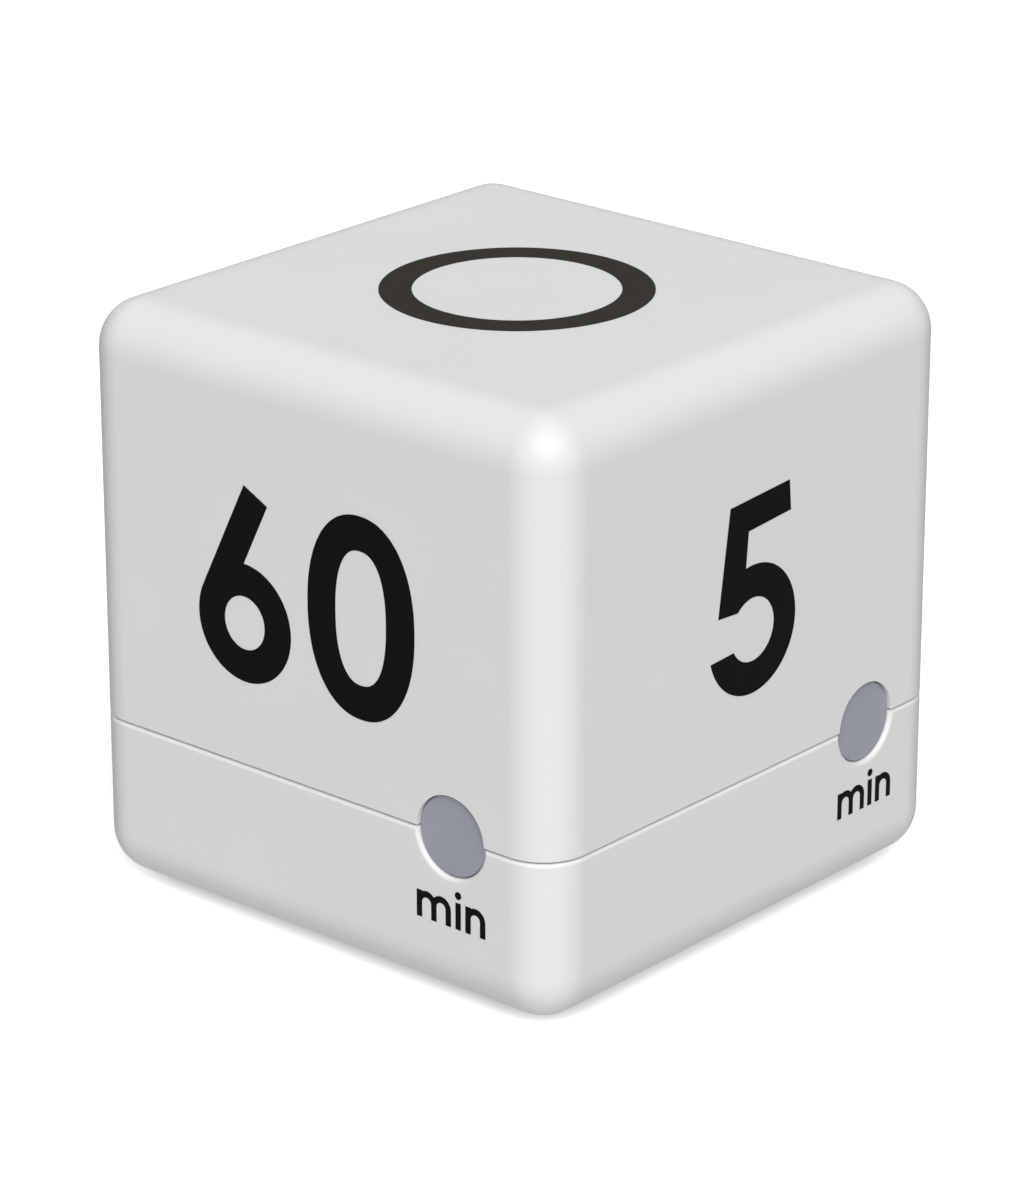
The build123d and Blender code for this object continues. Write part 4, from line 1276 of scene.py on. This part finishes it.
@dataclass
class Studio:
    """A pale floor with a painted contact shadow, soft light and the camera."""

    floor_size: float = 8.0
    floor_drop: float = 0.0002
    painted_shadow_square: float = 22.0  # half side of the square that the painted contact shadow surrounds, in millimetres
    contact: tuple[float, float] = (4.5, 10.5)  # where the painted shadow begins and ends, out from that square
    floor_glow: tuple[float, float] = (0.16, 0.32)  # light the paper gives off, in the painted shadow and outside it
    sky_heights: tuple[float, float] = (-0.6, 0.4)  # the sky's light fades between these
    sky_levels: tuple[float, float] = (0.46, 0.14)  # its strength at the lower and at the upper of them
    paper: tuple[str, str] = ("#D0D0D0", "#F4F4F4")  # colour in the painted shadow and outside it
    lamps: tuple[SoftBox, ...] = (
        SoftBox("light_key", 45, 43, 2.2, 50),
        SoftBox("light_shine", 45, 43, 1.25, 50, mirrored=True),
        SoftBox("light_floor", 41, -88, 0.85, 40),
        SoftBox("light_back", 221, 15, 1.5, 60),
    )
    camera_azimuth: float = 41.0
    camera_elevation: float = 21.1
    camera_distance: float = 0.5207
    camera_target: tuple[float, float, float] = (0.0004, -0.0007, 0.0299)
    lens: float = 148.3
    sensor: float = 36.0
    clip_start: float = 0.01

    def build(self) -> None:
        """Sets up floor, world, lights and camera."""
        self.floor()
        self.world()
        for lamp in self.lamps:
            lamp.build()
        self.camera()

    def floor(self) -> None:
        """A white floor, darker in a painted contact shadow round the object's footprint, and clear when it
        is looked at from below.
        """
        deselect()
        bpy.ops.mesh.primitive_plane_add(size=self.floor_size, location=(0, 0, -self.floor_drop))
        floor = bpy.context.object
        floor.name = "floor"
        material = bpy.data.materials.new("paper_white_painted_contact_shadow")
        material.use_nodes = True
        tree = material.node_tree
        tree.nodes.clear()
        vector = add_node(tree, "ShaderNodeTexCoord").outputs["Object"]
        # Painted contact shadow: the paper's colour and glow are darker near a rounded square round the
        # object's footprint, by distance from it.
        inner = (self.painted_shadow_square * MM,) * 2 + (1.0,)
        for operation, value in (("ABSOLUTE", (0, 0, 0)), ("SUBTRACT", inner), ("MAXIMUM", (0, 0, 0))):
            step = add_node(
                tree,
                "ShaderNodeVectorMath",
                settings={"operation": operation},
                values={1: value},
                links={0: vector},
            )
            vector = step.outputs["Vector"]
        reach = add_node(tree, "ShaderNodeVectorMath", settings={"operation": "LENGTH"}, links={0: vector})
        # The paper's glow, and how far each point lies out of the painted shadow: 0 inside it, 1 outside.
        glow, shade = (
            add_node(
                tree,
                "ShaderNodeMapRange",
                settings={"interpolation_type": "SMOOTHSTEP"},
                values={
                    "From Min": self.contact[0] * MM,
                    "From Max": self.contact[1] * MM,
                    "To Min": low,
                    "To Max": high,
                },
                links={"Value": reach.outputs["Value"]},
            ).outputs[0]
            for low, high in (self.floor_glow, (0.0, 1.0))
        )
        colour = add_node(
            tree,
            "ShaderNodeMix",
            settings={"data_type": "RGBA"},
            values={6: rgba(self.paper[0]), 7: rgba(self.paper[1])},
            links={0: shade},
        )
        paper = add_node(
            tree,
            "ShaderNodeBsdfPrincipled",
            values={"Roughness": 0.9, "Specular IOR Level": 0.1, "Emission Color": (1, 1, 1, 1)},
            links={"Base Color": colour.outputs[2], "Emission Strength": glow},
        )
        clear = add_node(tree, "ShaderNodeBsdfTransparent")
        side = add_node(tree, "ShaderNodeNewGeometry")
        mix = add_node(
            tree,
            "ShaderNodeMixShader",
            links={0: side.outputs["Backfacing"], 1: paper.outputs[0], 2: clear.outputs[0]},
        )
        add_node(tree, "ShaderNodeOutputMaterial", links={"Surface": mix.outputs[0]})
        floor.data.materials.append(material)
        floor.visible_diffuse = False
        floor.visible_glossy = False
        floor.visible_shadow = False
        floor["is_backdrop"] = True
        log.info("stage %s", floor.name)

    def world(self) -> None:
        """Dim light from above, more from below as a pale floor gives, and a white background."""
        world = bpy.data.worlds.new("studio")
        bpy.context.scene.world = world
        world.use_nodes = True
        tree = world.node_tree
        tree.nodes.clear()
        coords = add_node(tree, "ShaderNodeTexCoord")
        split = add_node(tree, "ShaderNodeSeparateXYZ", links={"Vector": coords.outputs["Generated"]})
        level = add_node(
            tree,
            "ShaderNodeMapRange",
            values={
                "From Min": self.sky_heights[0],
                "From Max": self.sky_heights[1],
                "To Min": self.sky_levels[0],
                "To Max": self.sky_levels[1],
            },
            links={"Value": split.outputs["Z"]},
        )
        path = add_node(tree, "ShaderNodeLightPath")
        shown = add_node(
            tree,
            "ShaderNodeMix",
            values={3: 1.0},
            links={0: path.outputs["Is Camera Ray"], 2: level.outputs["Result"]},
        )
        sky = add_node(
            tree, "ShaderNodeBackground", values={"Color": (1, 1, 1, 1)}, links={"Strength": shown.outputs[0]}
        )
        add_node(tree, "ShaderNodeOutputWorld", links={"Surface": sky.outputs[0]})

    def camera(self) -> None:
        """A long lens, a little above the object, facing the vertical edge between the 60 and 5 faces."""
        data = bpy.data.cameras.new("camera")
        camera = bpy.data.objects.new("camera", data)
        bpy.context.scene.collection.objects.link(camera)
        way = direction(self.camera_azimuth, self.camera_elevation)
        camera.location = Vector(self.camera_target) + way * self.camera_distance
        camera.rotation_euler = (-way).to_track_quat("-Z", "Y").to_euler()
        data.lens = self.lens
        data.sensor_width = self.sensor
        data.clip_start = self.clip_start
        bpy.context.scene.camera = camera
        bpy.context.scene.view_settings.view_transform = "Standard"


# ---------------------------------------------------------------- all together
def main() -> None:
    """Builds the looks around the frame."""
    logging.basicConfig(level=logging.INFO, format="%(name)s: %(message)s")
    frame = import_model()
    Studio().build()
    Wardrobe().build(frame)
    for assembly in (Casing(), Display(), PowerLabels(), CellMarks(), BoardPrint()):
        assembly.build()


if __name__ == "__main__":
    main()
